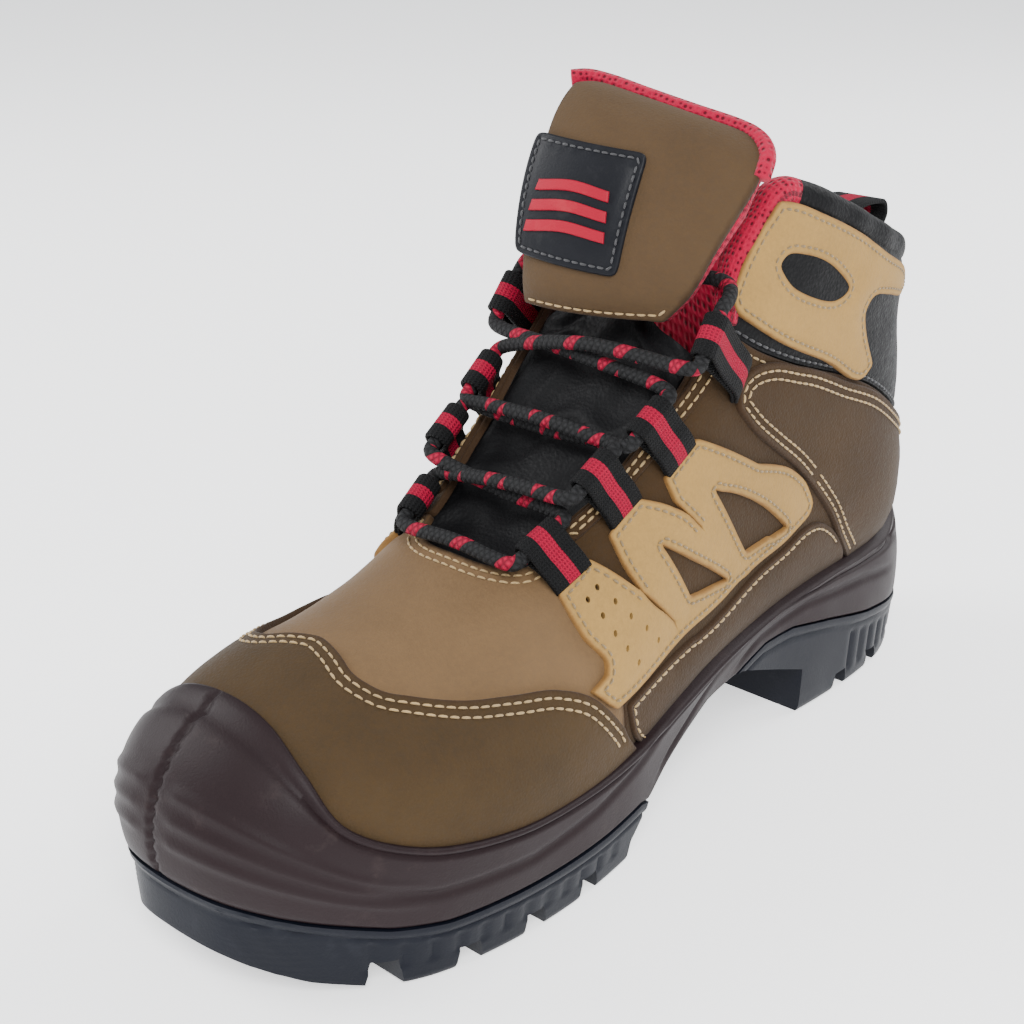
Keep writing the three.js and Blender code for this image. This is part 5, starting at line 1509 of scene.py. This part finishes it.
def lace_path():
    """The lace's centre line from the medial tip to the lateral tip."""
    l, m = FRAMES["lateral"], FRAMES["medial"]

    def rising(first, second, lifts):
        return (strand(first[0], 1, second[1], -1, lifts[0]) + strand(second[1], 1, first[2], -1, lifts[1])
                + strand(first[2], 1, second[3], -1, lifts[2]))

    def tuck(points):
        return [np.array([x, HALF_LENGTH - a, z]) for x, a, z in points]

    lateral_end, medial_end = rising(m, l, [2.5, -2.5, 6.5]), rising(l, m, [-2.5, 2.5, 1.5])
    lateral_tip = catmull(leaving(l[3],
                                  1) + tuck([(36.6, 134.5, 151), (33, 129.5, 153.5), (26, 128, 154),
                                             (19, 127.6, 153)]), 34)
    medial_tip = catmull(leaving(m[3],
                                 1) + tuck([(-36.8, 135.2, 151), (-34.5, 131, 154), (-29, 129.8, 155),
                                            (-21, 129.4, 154)]), 34)
    bar = strand(l[0], -1, m[0], -1, 1)
    return medial_tip[::-1] + medial_end[::-1] + bar + lateral_end + lateral_tip


def make_lace():
    """One lace through all eight loops, with a tip at each end."""
    raw = np.array(lace_path())
    gap = np.concatenate([[True], np.linalg.norm(np.diff(raw, axis=0), axis=1) > 0.05])
    path = resample(raw[gap], 1.1)
    for _ in range(2):
        path[1:-1] = 0.25 * path[:-2] + 0.5 * path[1:-1] + 0.25 * path[2:]
    radius = 0.5 * SIZES["lace_width"]
    obj = tube("lace", path, radius)
    finish(obj, MATERIALS["lace"], "boot", ["lace"])
    for side, end, before in (("medial", path[0], path[3]), ("lateral", path[-1], path[-4])):
        way = unit(end - before)
        bpy.ops.object.select_all(action="DESELECT")
        bpy.ops.mesh.primitive_cylinder_add(vertices=32, radius=(radius - 0.05) * MM, depth=TIP_LENGTH * MM)
        tip = bpy.context.object
        tip.name = f"aglet_{side}_shown"
        bevel = tip.modifiers.new("Edge", "BEVEL")
        bevel.width, bevel.segments = 0.0006, 3
        bevel.limit_method = "ANGLE"
        tip.rotation_euler = Vector(way).to_track_quat("Z", "Y").to_euler()
        tip.location = Vector((end + way * (0.5 * TIP_LENGTH + 0.2)) * MM)
        apply_modifiers(tip)
        bpy.ops.object.transform_apply(location=True, rotation=True, scale=True)
        smooth_by_angle(tip, 40)
        finish(tip, MATERIALS["aglet"], "boot", [f"aglet_{side}"])


def make_pull_loop():
    """Tape loop at the back of the collar."""
    rim = upper_point(19, 1)[2]
    outer = UPPER.place(UPPER.to_flat((18, 1))[None], np.array([0.3]))[0][1] + 0.1
    inner = UPPER.place(UPPER.to_flat((18.9, 1))[None], np.array([-9.6]))[0][1] - 2.6
    wall, crown, lean = 0.8, rim + 7, 6.0
    back, front = outer + wall, inner - wall
    flat = [(back, rim - 24), (back, rim - 12), (back + 1.5, rim - 4), (back + lean, crown - 4),
            (back + lean - 1.2, crown - 0.2),
            (back + lean - 5, crown + wall), (front + 6, crown + wall), (front + 1.8, crown - 1),
            (front, crown - 6), (front, rim - 10),
            (front, rim - 20)]
    path = [np.array([0, y, z]) for y, z in catmull(flat, 90)]
    obj = ribbon("pull_loop", path, np.array([1.0, 0, 0]), SIZES["pull_width"], 2 * wall)
    finish(obj, MATERIALS["pull"], "boot", ["pull_loop"])


# ---------------------------------------------------------------- sole

SOLE_STATIONS = [
    (304.5, -8, 2.62, 0, 3.6, 12), (302, 10, 2.58, 0.12, 3.6, 11.5), (294, 24, 2.5, 0.26, 3.6, 9.5),
    (280, 36, 2.7, 0.41, 3.6, 6),
    (262, 46, 3.6, 0.49, 3.5, 3), (240, 51, 4.8, 0.515, 3.3, 1.8), (214, 52.3, 5.93, 0.54, 3.2, 0.8),
    (186, 49.3, 7.2, 0.58, 4, 0.4),
    (160, 43, 8.28, 0.632, 4.8, 0), (130, 37.5, 9.44, 0.675, 5.2, 0), (100, 36, 10.55, 0.685, 5, 0),
    (70, 37, 11.52, 0.71, 5.2, 1),
    (45, 36.5, 12.26, 0.75, 5.4, 1.5), (24, 33, 12.88, 0.8, 5.4, 2), (9, 25, 13.46, 0.863, 5, 2),
    (2, 13, 14.1, 0.93, 4.4, 2),
    (0, 0, 14.4, 1, 4, 2), (2, -13, 14.1, 1.07, 4.4, 2), (9, -25, 13.48, 1.138, 5, 2),
    (24, -33, 12.9, 1.2, 5.4, 2),
    (45, -36, 12.28, 1.252, 5.4, 1.5), (70, -36, 11.54, 1.295, 5.2, 1), (100, -34, 10.58, 1.325, 5, 0),
    (130, -34, 9.48, 1.345, 4.7, 0),
    (160, -38, 8.33, 1.395, 4, 0), (185, -44, 7.27, 1.434, 3.6, 0.4), (210, -50, 6.02, 1.467, 3.3, 0.8),
    (236, -51, 4.84, 1.486, 3.3, 1.8),
    (260, -49, 3.82, 1.5, 3.5, 3), (280, -43, 2.9, 1.56, 3.6, 6), (294, -34, 2.62, 1.69, 3.6, 9.5),
    (302.5, -22, 2.62, 1.84, 3.6, 11.5),
]
SEAM_LINE = [(-20, 18), (0, 18), (20, 20), (45, 24), (70, 30), (90, 34), (105, 34), (122, 29), (140, 22),
             (160, 14), (172, 13),
             (182, 16), (200, 15.5), (235, 16), (258, 16.5), (272, 18.5), (289, 23.5), (306, 29), (330, 30)]
ARCH_CUT = [(82, -5), (82, 16), (118, 29.5), (140, 29), (155, 24.5), (167, 19.5), (178, 14), (186, 6),
            (189, -5)]
TOE_SPRING = [(256, -10), (262, 0), (276, 1.6), (288, 5), (298, 9.5), (306, 14), (330, 24), (330, -10)]
BRIDGE = [(84, 16.75), (118, 29.5), (140, 29), (155, 24.5), (167, 19.5), (178, 14), (184, 9)]
CROSS_GROOVES, CENTRE_GROOVES = (14, 36, 58, 207, 229, 251, 273), (26, 48, 196, 218, 240, 262)
COLUMNS = 576


def closed_spline(rows, count):
    """A centripetal loop through points, at even shares of each span."""
    p = np.asarray(rows, float)
    n = len(p)
    out = []
    gaps = np.sqrt(np.maximum(np.linalg.norm(np.roll(p, -1, 0) - p, axis=1), 1e-6))
    for k in range(count):
        x = n * k / count
        i = int(x)
        t = x - i
        p0, p1, p2, p3 = p[i - 1], p[i % n], p[(i + 1) % n], p[(i + 2) % n]
        d0, d1, d2 = gaps[i - 1], gaps[i % n], gaps[(i + 1) % n]
        m1 = (p1 - p0) / d0 - (p2 - p0) / (d0 + d1) + (p2 - p1) / d1
        m2 = (p2 - p1) / d1 - (p3 - p1) / (d1 + d2) + (p3 - p2) / d2
        m1, m2 = m1 * d1, m2 * d1
        out.append((2 * t ** 3 - 3 * t ** 2 + 1) * p1 + (t ** 3 - 2 * t ** 2 + t) * m1
                   + (3 * t ** 2 - 2 * t ** 3) * p2 + (t ** 3 - t ** 2) * m2)
    return np.array(out)


def sole_rings():
    seam = lambda a: np.interp(a, *zip(*SEAM_LINE))
    edge = closed_spline([(x, HALF_LENGTH - a, max(seam(a), 14) - 4) for a, x, *_ in SOLE_STATIONS], COLUMNS)
    tops = closed_spline([UPPER.place(UPPER.to_flat((u, v))[None], np.array([lip]))[0] for _, _, u, v, lip,
                          _ in SOLE_STATIONS], COLUMNS)
    last = closed_spline([UPPER.place(UPPER.to_flat((u, v))[None], np.array([-1.0]))[0] for _, _, u, v, _,
                          _ in SOLE_STATIONS], COLUMNS)
    bulge = closed_spline([(s[5], 0, 0) for s in SOLE_STATIONS], COLUMNS)[:, 0]
    along = round_trip(edge)
    outward = unit_rows(np.stack([along[:, 1], -along[:, 0], 0 * along[:, 0]], -1))
    if (outward * edge).sum() < 0:
        outward = -outward
    control = edge + 0.1 * (tops - edge) + outward * bulge[:, None]
    control[:, 2] = edge[:, 2] + 0.68 * (tops[:, 2] - edge[:, 2])
    t = np.linspace(0, 1, 80)[:, None, None]
    wall = (1 - t) ** 2 * edge + 2 * t * (1 - t) * control + t ** 2 * tops
    low = np.stack([edge - outward * inset + np.array([0, 0, 1]) * (z - edge[:, 2:]) for z, inset in
                    ((-1.0, 2.4), (0.0, 2.2), (0.6, 1.6), (1.6, 1.2), (6.0, 0.8))])
    return edge, tops, last, outward, np.vstack([low, wall])


def between(profile, low, high, count):
    """Points of each column between two heights, evenly spread."""
    out = np.empty((count, profile.shape[1], 3))
    for k in range(profile.shape[1]):
        line = profile[:, k]
        z = np.maximum.accumulate(line[:, 2] + 1e-6 * np.arange(len(line)))
        wanted = low[k] + (high[k] - low[k]) * np.linspace(0, 1, count)
        out[:, k] = np.stack([np.interp(wanted, z, line[:, i]) for i in range(3)], -1)
    return out


def groove(a, z, line, width, depth, fade=8.0):
    """Depth of a moulded groove that follows (a, z) points."""
    line = np.asarray(line, float)
    order = np.argsort(line[:, 0])
    at = np.interp(a, line[order, 0], line[order, 1])
    low, high = line[:, 0].min(), line[:, 0].max()
    ends = np.clip(np.minimum(a - low, high - a) / fade, 0, 1)
    return depth * np.exp(-((z - at) / width) ** 2) * ends * ends * (3 - 2 * ends)


FLOW_LINES = [
    [(176, 19), (160, 26), (140, 36), (112, 44), (80, 48), (40, 46), (8, 40)],
    [(168, 36), (186, 31), (206, 27), (232, 25), (262, 27), (284, 33)],
    [(128, 30), (110, 38), (84, 41), (50, 38), (22, 33)],
]


def make_midsole():
    """Foam midsole with its flow lines, foxing lip and ribbed toe bumper."""
    edge, tops, last, outward, profile = sole_rings()
    a = HALF_LENGTH - edge[:, 1]
    low = np.maximum(np.interp(a, *zip(*SEAM_LINE)) + 0.15,
                     np.where((a > 100) & (a < 189), np.interp(a, *zip(*ARCH_CUT[2:])), 0))
    wall = between(profile, low, tops[:, 2] - 0.02, 44)
    slope = np.gradient(wall, axis=0)
    along = np.roll(wall, -1, 1) - np.roll(wall, 1, 1)
    normal = unit_rows(np.cross(along, slope))
    if (normal[20] * outward).sum() < 0:
        normal = -normal
    wa, wz = HALF_LENGTH - wall[..., 1], wall[..., 2]
    cut = np.zeros_like(wz)
    for line in FLOW_LINES:
        cut += groove(wa, wz, line, 1.5, 1.0, 14)
    share = np.linspace(0, 1, 44)[:, None] + 0 * wz
    toe = np.clip((wa - 264) / 22, 0, 1) * np.clip(np.abs(wall[..., 0] + 8) / 5 - 0.6, 0, 1)
    for height in (0.3, 0.44, 0.58):
        cut -= 0.75 * np.exp(-((share - height) / 0.04) ** 2) * toe
    cut += 1.3 * np.exp(-((wall[..., 0] + 8 + 0.6 * np.sin(wz * 1.7)) / 1.0) ** 2) * (wa > 262)
    cut += 0.9 * np.exp(-((share - 0.93) / 0.028) ** 2)
    cut += 0.8 * np.exp(-(share / 0.03) ** 2)
    wall = wall - normal * cut[..., None]
    inward = last - tops
    length = np.linalg.norm(inward, axis=1, keepdims=True)
    inward /= length
    rise = unit_rows(np.cross(round_trip(tops), inward))
    if rise[:, 2].sum() < 0:
        rise = -rise
    lip = [tops + rise * 0.5 + inward * 0.3, tops + rise * 0.75 + inward * 1.1,
           tops + rise * 0.55 + inward * 2.0,
           tops + inward * (length - 0.6), last]
    under = [last * np.array([0.93, 0.985, 1]) - np.array([0, 0, 6.0]),
             edge * np.array([0.72, 0.97, 0]) + np.array([0, 0, 1]) * (low[:, None] + 2.5)]
    rings = np.concatenate([wall, np.array(lip), np.array(under)])
    obj = new_object("midsole", rings.reshape(-1, 3), ring_faces(len(rings), COLUMNS, closed=True))
    face_outwards(obj)
    smooth_by_angle(obj, 50)
    finish(obj, MATERIALS["midsole"], "boot", ["midsole"])


def prism(name, outline, half_width):
    """A side-on outline (a, z) carried across the boot."""
    n = len(outline)
    vertices = [(x, HALF_LENGTH - a, z) for x in (-half_width, half_width) for a, z in outline]
    faces = [tuple(range(n)), tuple(reversed(range(n, 2 * n)))]
    faces += [(k, k + n, (k + 1) % n + n, (k + 1) % n) for k in range(n)]
    obj = new_object(name, vertices, faces, smooth=False)
    face_outwards(obj)
    return obj


def groove_cutter(x, a, floor_height, wide, long):
    """A tread groove, wider at the ground than at its floor."""
    bpy.ops.object.select_all(action="DESELECT")
    depth = 16.0
    bpy.ops.mesh.primitive_cube_add(size=1.0,
                                    location=(x * MM, (HALF_LENGTH - a) * MM,
                                              (floor_height - depth / 2) * MM))
    cutter = bpy.context.object
    cutter.scale = (wide * MM, long * MM, depth * MM)
    bpy.ops.object.transform_apply(location=True, rotation=True, scale=True)
    top = max(v.co.z for v in cutter.data.vertices)
    bpy.ops.object.mode_set(mode="EDIT")
    bpy.ops.mesh.select_all(action="DESELECT")
    bpy.ops.object.mode_set(mode="OBJECT")
    for polygon in cutter.data.polygons:
        polygon.select = all(abs(cutter.data.vertices[v].co.z - top) < 1e-6 for v in polygon.vertices)
    bpy.ops.object.mode_set(mode="EDIT")
    bpy.ops.mesh.select_mode(type="FACE")
    bpy.ops.transform.resize(value=(max(0.5, 1 - 6.5 / wide), max(0.5, 1 - 6.5 / long), 1),
                             center_override=(x * MM, (HALF_LENGTH - a) * MM, top))
    bpy.ops.object.mode_set(mode="OBJECT")
    return cutter


def cut_away(obj, cutters):
    """Take the cutters out of a piece and delete them."""
    for cutter in cutters:
        modifier = obj.modifiers.new("Cut", "BOOLEAN")
        modifier.operation, modifier.solver, modifier.object = "DIFFERENCE", "EXACT", cutter
        apply_modifiers(obj)
        bpy.data.objects.remove(cutter, do_unlink=True)


def make_outsole():
    """Rubber outsole with side flutes and lugs cut from below."""
    edge, _, _, outward, profile = sole_rings()
    a = HALF_LENGTH - edge[:, 1]
    high = np.interp(a, *zip(*SEAM_LINE))
    wall = between(profile, 0 * high, high - 0.1, 30)
    wa, wz = HALF_LENGTH - wall[..., 1], wall[..., 2]
    out = outward[None]
    proud = 0.35 * np.exp(-((wz - high + 1.4) / 1.2) ** 2)
    cut = np.zeros_like(wz)
    for places, depth, width, low, below, fade in (
        ((18, 25, 32, 39, 46, 53), 0.9, 1.3, 4, 5, 2), (np.arange(196, 282, 7.3), 0.7, 1.1, 5, 4, 1.5),
    ):
        faded = np.clip((wz - low) / fade, 0, 1) * np.clip((high - below - wz) / fade, 0, 1)
        for at in places:
            cut += depth * np.exp(-((wa - at) / width) ** 2) * faded
    cut += 0.5 * np.exp(-((wz - high + 3.4) / 0.5) ** 2)
    cut += 0.25 * np.abs(np.sin(wz * 1.6)) * np.clip((wa - 285) / 8, 0, 1)
    wall = wall + out * (proud - cut)[..., None]
    base = edge * np.array([0.86, 0.965, 0]) + np.array([0, 0, 1]) * high[:, None] - np.array([0, 0, 0.1])
    rings = np.concatenate([wall, base[None]])
    faces = ring_faces(len(rings), COLUMNS) + [tuple(reversed(range(COLUMNS)))]
    obj = new_object("outsole", rings.reshape(-1, 3), faces, smooth=False)
    select_only(obj)
    bpy.ops.object.mode_set(mode="EDIT")
    bpy.ops.mesh.select_all(action="DESELECT")
    bpy.ops.mesh.select_non_manifold()
    bpy.ops.mesh.edge_face_add()
    bpy.ops.mesh.select_all(action="SELECT")
    bpy.ops.mesh.normals_make_consistent(inside=False)
    bpy.ops.object.mode_set(mode="OBJECT")
    cutters = [prism("arch_cut", ARCH_CUT, 90), prism("spring_cut", TOE_SPRING, 90)]
    floor_of = lambda at: 5 + max(0.0, (at - 256) * 0.14)
    grooves = []
    for side in (-1, 1):
        grooves += [groove_cutter(side * 58, at, floor_of(at) + 1.2, 80, 12) for at in CROSS_GROOVES]
        grooves += [groove_cutter(side * 15, 231, 5, 10, 76), groove_cutter(side * 15, 34, 5, 10, 58)]
    grooves += [groove_cutter(0, at, floor_of(at), 30, 10) for at in CENTRE_GROOVES]
    cut_away(obj, cutters + grooves)
    bridge = make_bridge(edge)
    select_only(obj)
    bridge.select_set(True)
    bpy.ops.object.join()
    smooth_by_angle(obj, 35)
    finish(obj, MATERIALS["outsole"], "boot", ["outsole"])


def make_bridge(edge):
    """The thin rubber web under the arch."""
    a_edge, x_edge = HALF_LENGTH - edge[:, 1], edge[:, 0]
    line = line_through(BRIDGE, 3.0)
    vertices = []
    for a, z in line:
        right = np.interp(a, *sorted_pair(a_edge[x_edge > 0], x_edge[x_edge > 0])) - 9
        left = np.interp(a, *sorted_pair(a_edge[x_edge < 0], x_edge[x_edge < 0])) + 9
        for x, drop in ((left, 0), (left + 3, 1.2), (0, 1.6), (right - 3, 1.2), (right, 0)):
            vertices.append((x, HALF_LENGTH - a, z - drop))
        for x in (right, left):
            vertices.append((x, HALF_LENGTH - a, z + 1.6))
    obj = new_object("arch_web", vertices, capped_faces(len(line), 7))
    face_outwards(obj)
    return obj


def sorted_pair(x, y):
    order = np.argsort(x)
    return x[order], y[order]


def finish_inner_parts():
    """Colour the parts that stay as they were made: insoles, shank, cap and stiffeners."""
    nodes = frame["nodes"]
    for name, material in (("puncture_plate", "board"), ("shank", "steel"), ("insole_board", "board"),
                           ("footbed", "sock"),
                           ("steel_toe_cap", "steel"), ("heel_stiffener", "board"), ("vamp_lining", "sock")):
        obj = nodes[name]
        obj.data.materials.clear()
        obj.data.materials.append(MATERIALS[material])


# ---------------------------------------------------------------- stage


FLOOR_SIZE = 6.0
VIEW_AZIMUTH, VIEW_ELEVATION, VIEW_DISTANCE = 42.6, 22.4, 0.5
FILM_WIDTH, LENS = 36, 59.77


def make_stage(sizes):
    """Pale floor, three soft lamps and the camera."""
    bpy.ops.object.select_all(action="DESELECT")
    bpy.ops.mesh.primitive_plane_add(size=FLOOR_SIZE, location=(0, 0, 0))
    floor_ = bpy.context.object
    floor_.name = "floor"
    material, tree, shader = new_material("studio floor", 0.9)
    skin = group_node(tree, "moulded_skin", 0.05)
    link(tree, mixed(tree, skin.outputs["Blotch"], (0.92, 0.92, 0.925), (0.95, 0.95, 0.955)),
         shader.inputs["Base Color"])
    shader.inputs["Emission Color"].default_value = (1.0, 1.0, 1.0, 1.0)
    shader.inputs["Emission Strength"].default_value = 0.9
    floor_.data.materials.append(material)
    world = bpy.data.worlds.new("studio")
    bpy.context.scene.world = world
    world.use_nodes = True
    background = world.node_tree.nodes["Background"]
    background.inputs["Color"].default_value = (0.93, 0.96, 1.0, 1)
    background.inputs["Strength"].default_value = sizes.fill_light
    for name, place, target, size, power in (
        ("key", (1.1, -0.9, 1.35), (0, 0, 0.08), 1.0, sizes.key_light),
        ("side", (-1.2, -0.7, 0.9), (0, 0, 0.08), 0.9, 0.45 * sizes.key_light),
        ("back", (0.3, 1.3, 1.1), (0, 0, 0.1), 0.9, 0.4 * sizes.key_light),
    ):
        light = bpy.data.lights.new(name, "AREA")
        light.size, light.energy = size, power
        lamp = bpy.data.objects.new(name, light)
        lamp.location = place
        lamp.rotation_euler = (Vector(target) - Vector(place)).to_track_quat("-Z", "Y").to_euler()
        bpy.context.scene.collection.objects.link(lamp)
    camera = bpy.data.objects.new("camera", bpy.data.cameras.new("camera"))
    bpy.context.scene.collection.objects.link(camera)
    azimuth, elevation = math.radians(VIEW_AZIMUTH), math.radians(VIEW_ELEVATION)
    right = Vector((math.cos(azimuth), math.sin(azimuth), 0))
    back = Vector((math.sin(azimuth) * math.cos(elevation), -math.cos(azimuth) * math.cos(elevation),
                   math.sin(elevation)))
    up = back.cross(right)
    aim = Vector((0, 0, 0.095)) - right * 0.0203 - up * 0.0110
    camera.location = aim + back * VIEW_DISTANCE
    camera.rotation_euler = back.to_track_quat("Z", "Y").to_euler()
    camera.data.sensor_width, camera.data.lens = FILM_WIDTH, LENS
    bpy.context.scene.camera = camera


# ---------------------------------------------------------------- settings, operators and panel


def measure(name, description, default):
    return bpy.props.FloatProperty(name=name, description=description, default=default, min=0.0,
                                   unit="LENGTH",
                                   precision=4)


class BootSizes(bpy.types.PropertyGroup):
    lace_width: measure("Lace", "Thickness of the round lace", 0.0042)
    loop_width: measure("Lace loops", "Width of the tape of the lace loops", 0.013)
    pull_width: measure("Pull loop", "Width of the tape of the heel's pull loop", 0.018)
    stitch_pitch: measure("Stitch pitch", "Distance from one stitch to the next in the cream rows", 0.0031)
    stitch_length: measure("Stitch length", "Length of one stitch in the cream rows", 0.0025)
    key_light: bpy.props.FloatProperty(name="Key light", description="Power of the main studio light",
                                       default=52.0, min=0.0, unit="POWER")
    fill_light: bpy.props.FloatProperty(name="Fill light", description="Strength of the light from all round",
                                        default=0.75, min=0.0)


def colour(name, description, default):
    return bpy.props.FloatVectorProperty(name=name, description=description, default=default, subtype="COLOR",
                                         size=3, min=0.0, max=1.0)


class BootColours(bpy.types.PropertyGroup):
    vamp: colour("Vamp", "Smooth brown leather of the vamp and tongue", (0.125, 0.074, 0.034))
    guard: colour("Toe guard", "Olive brown leather over the toe", (0.046, 0.027, 0.0105))
    brown: colour("Quarters", "Brown leather of the quarters and counter", (0.036, 0.0190, 0.0065))
    tan: colour("Tan", "Tan leather of the side and collar panels", (0.30, 0.178, 0.052))
    black: colour("Black", "Black leather, webbing and lace", (0.004, 0.004, 0.0045))
    red: colour("Red", "Red mesh and webbing stripes", (0.34, 0.002, 0.03))
    cream: colour("Thread", "Cream sewing thread", (0.36, 0.24, 0.10))
    midsole: colour("Midsole", "Dark brown moulded foam", (0.0120, 0.0058, 0.0068))
    outsole: colour("Outsole", "Blue-black rubber", (0.0034, 0.0045, 0.0090))


def get_ready(context):
    """Every operator starts in object mode, with the materials made."""
    if context.mode != "OBJECT":
        raise RuntimeError("leave edit mode first")
    if not MATERIALS:
        make_materials(context.scene.boot_colours)
    SIZES.update({key: round(getattr(context.scene.boot_sizes, key) / MM, 3) for key in LENGTH_NAMES})


class BOOT_OT_sole(bpy.types.Operator):
    """Rubber outsole with its lugs, and the foam midsole with its toe bumper"""
    bl_idname = "boot.sole"
    bl_label = "Sole"
    bl_options = {"REGISTER", "UNDO"}

    def execute(self, context):
        get_ready(context)
        make_outsole()
        make_midsole()
        return {"FINISHED"}


class BOOT_OT_vamp(bpy.types.Operator):
    """Vamp and toe guard"""
    bl_idname = "boot.vamp"
    bl_label = "Vamp and toe guard"
    bl_options = {"REGISTER", "UNDO"}

    def execute(self, context):
        get_ready(context)
        make_vamp()
        make_toe_guard()
        return {"FINISHED"}


class BOOT_OT_sides(bpy.types.Operator):
    """Quarters, foxings, tan side panels, eyestays and collar panels of both sides"""
    bl_idname = "boot.sides"
    bl_label = "Side panels"
    bl_options = {"REGISTER", "UNDO"}

    def execute(self, context):
        get_ready(context)
        make_sides()
        return {"FINISHED"}


class BOOT_OT_collar(bpy.types.Operator):
    """Heel counter, padded collar and its mesh lining"""
    bl_idname = "boot.collar"
    bl_label = "Counter and collar"
    bl_options = {"REGISTER", "UNDO"}

    def execute(self, context):
        get_ready(context)
        make_counter()
        make_collar()
        make_lining()
        return {"FINISHED"}


class BOOT_OT_tongue(bpy.types.Operator):
    """Padded tongue with its label, and the folded gusset under the laces"""
    bl_idname = "boot.tongue"
    bl_label = "Tongue"
    bl_options = {"REGISTER", "UNDO"}

    def execute(self, context):
        get_ready(context)
        make_gusset()
        make_tongue()
        return {"FINISHED"}


class BOOT_OT_stitching(bpy.types.Operator):
    """Every sewn row, gathered while the panels were made"""
    bl_idname = "boot.stitching"
    bl_label = "Stitching"
    bl_options = {"REGISTER", "UNDO"}

    def execute(self, context):
        get_ready(context)
        BOOT_THREAD.finish("stitching", "boot", MATERIALS["cream"])
        TAN_THREAD.finish("tan_stitching", "boot", MATERIALS["gold"])
        BOOT_DARK_THREAD.finish("collar_stitching", "boot", MATERIALS["dark"])
        TONGUE_THREAD.finish("tongue_stitching", "tongue", MATERIALS["cream"])
        return {"FINISHED"}


class BOOT_OT_lacing(bpy.types.Operator):
    """Webbing loops, the lace with its tips, and the heel pull"""
    bl_idname = "boot.lacing"
    bl_label = "Loops and lace"
    bl_options = {"REGISTER", "UNDO"}

    def execute(self, context):
        get_ready(context)
        make_loops()
        make_lace()
        make_pull_loop()
        return {"FINISHED"}


class BOOT_OT_inner(bpy.types.Operator):
    """Insoles, shank, toe cap and stiffeners"""
    bl_idname = "boot.inner"
    bl_label = "Inner parts"
    bl_options = {"REGISTER", "UNDO"}

    def execute(self, context):
        get_ready(context)
        finish_inner_parts()
        return {"FINISHED"}


class BOOT_OT_stage(bpy.types.Operator):
    """Floor, lights and camera"""
    bl_idname = "boot.stage"
    bl_label = "Stage"
    bl_options = {"REGISTER", "UNDO"}

    def execute(self, context):
        get_ready(context)
        make_stage(context.scene.boot_sizes)
        return {"FINISHED"}


class BOOT_PT_panel(bpy.types.Panel):
    bl_idname = "BOOT_PT_panel"
    bl_label = "Work boot"
    bl_space_type = "VIEW_3D"
    bl_region_type = "UI"
    bl_category = "Boot"

    def draw(self, context):
        layout = self.layout
        for group in (context.scene.boot_sizes, context.scene.boot_colours):
            for name in group.__annotations__:
                layout.prop(group, name)
        for operator in OPERATORS:
            layout.operator(operator.bl_idname)


OPERATORS = (BOOT_OT_sole, BOOT_OT_vamp, BOOT_OT_sides, BOOT_OT_collar, BOOT_OT_tongue, BOOT_OT_stitching,
             BOOT_OT_lacing, BOOT_OT_inner, BOOT_OT_stage)
CLASSES = (BootSizes, BootColours, *OPERATORS, BOOT_PT_panel)


def register():
    for cls in CLASSES:
        bpy.utils.register_class(cls)
    bpy.types.Scene.boot_sizes = bpy.props.PointerProperty(type=BootSizes)
    bpy.types.Scene.boot_colours = bpy.props.PointerProperty(type=BootColours)


def unregister():
    del bpy.types.Scene.boot_colours
    del bpy.types.Scene.boot_sizes
    for cls in reversed(CLASSES):
        bpy.utils.unregister_class(cls)


def main():
    register()
    bpy.ops.boot.sole()
    bpy.ops.boot.vamp()
    bpy.ops.boot.sides()
    bpy.ops.boot.collar()
    bpy.ops.boot.tongue()
    bpy.ops.boot.stitching()
    bpy.ops.boot.lacing()
    bpy.ops.boot.inner()
    bpy.ops.boot.stage()


if __name__ == "__main__":
    main()
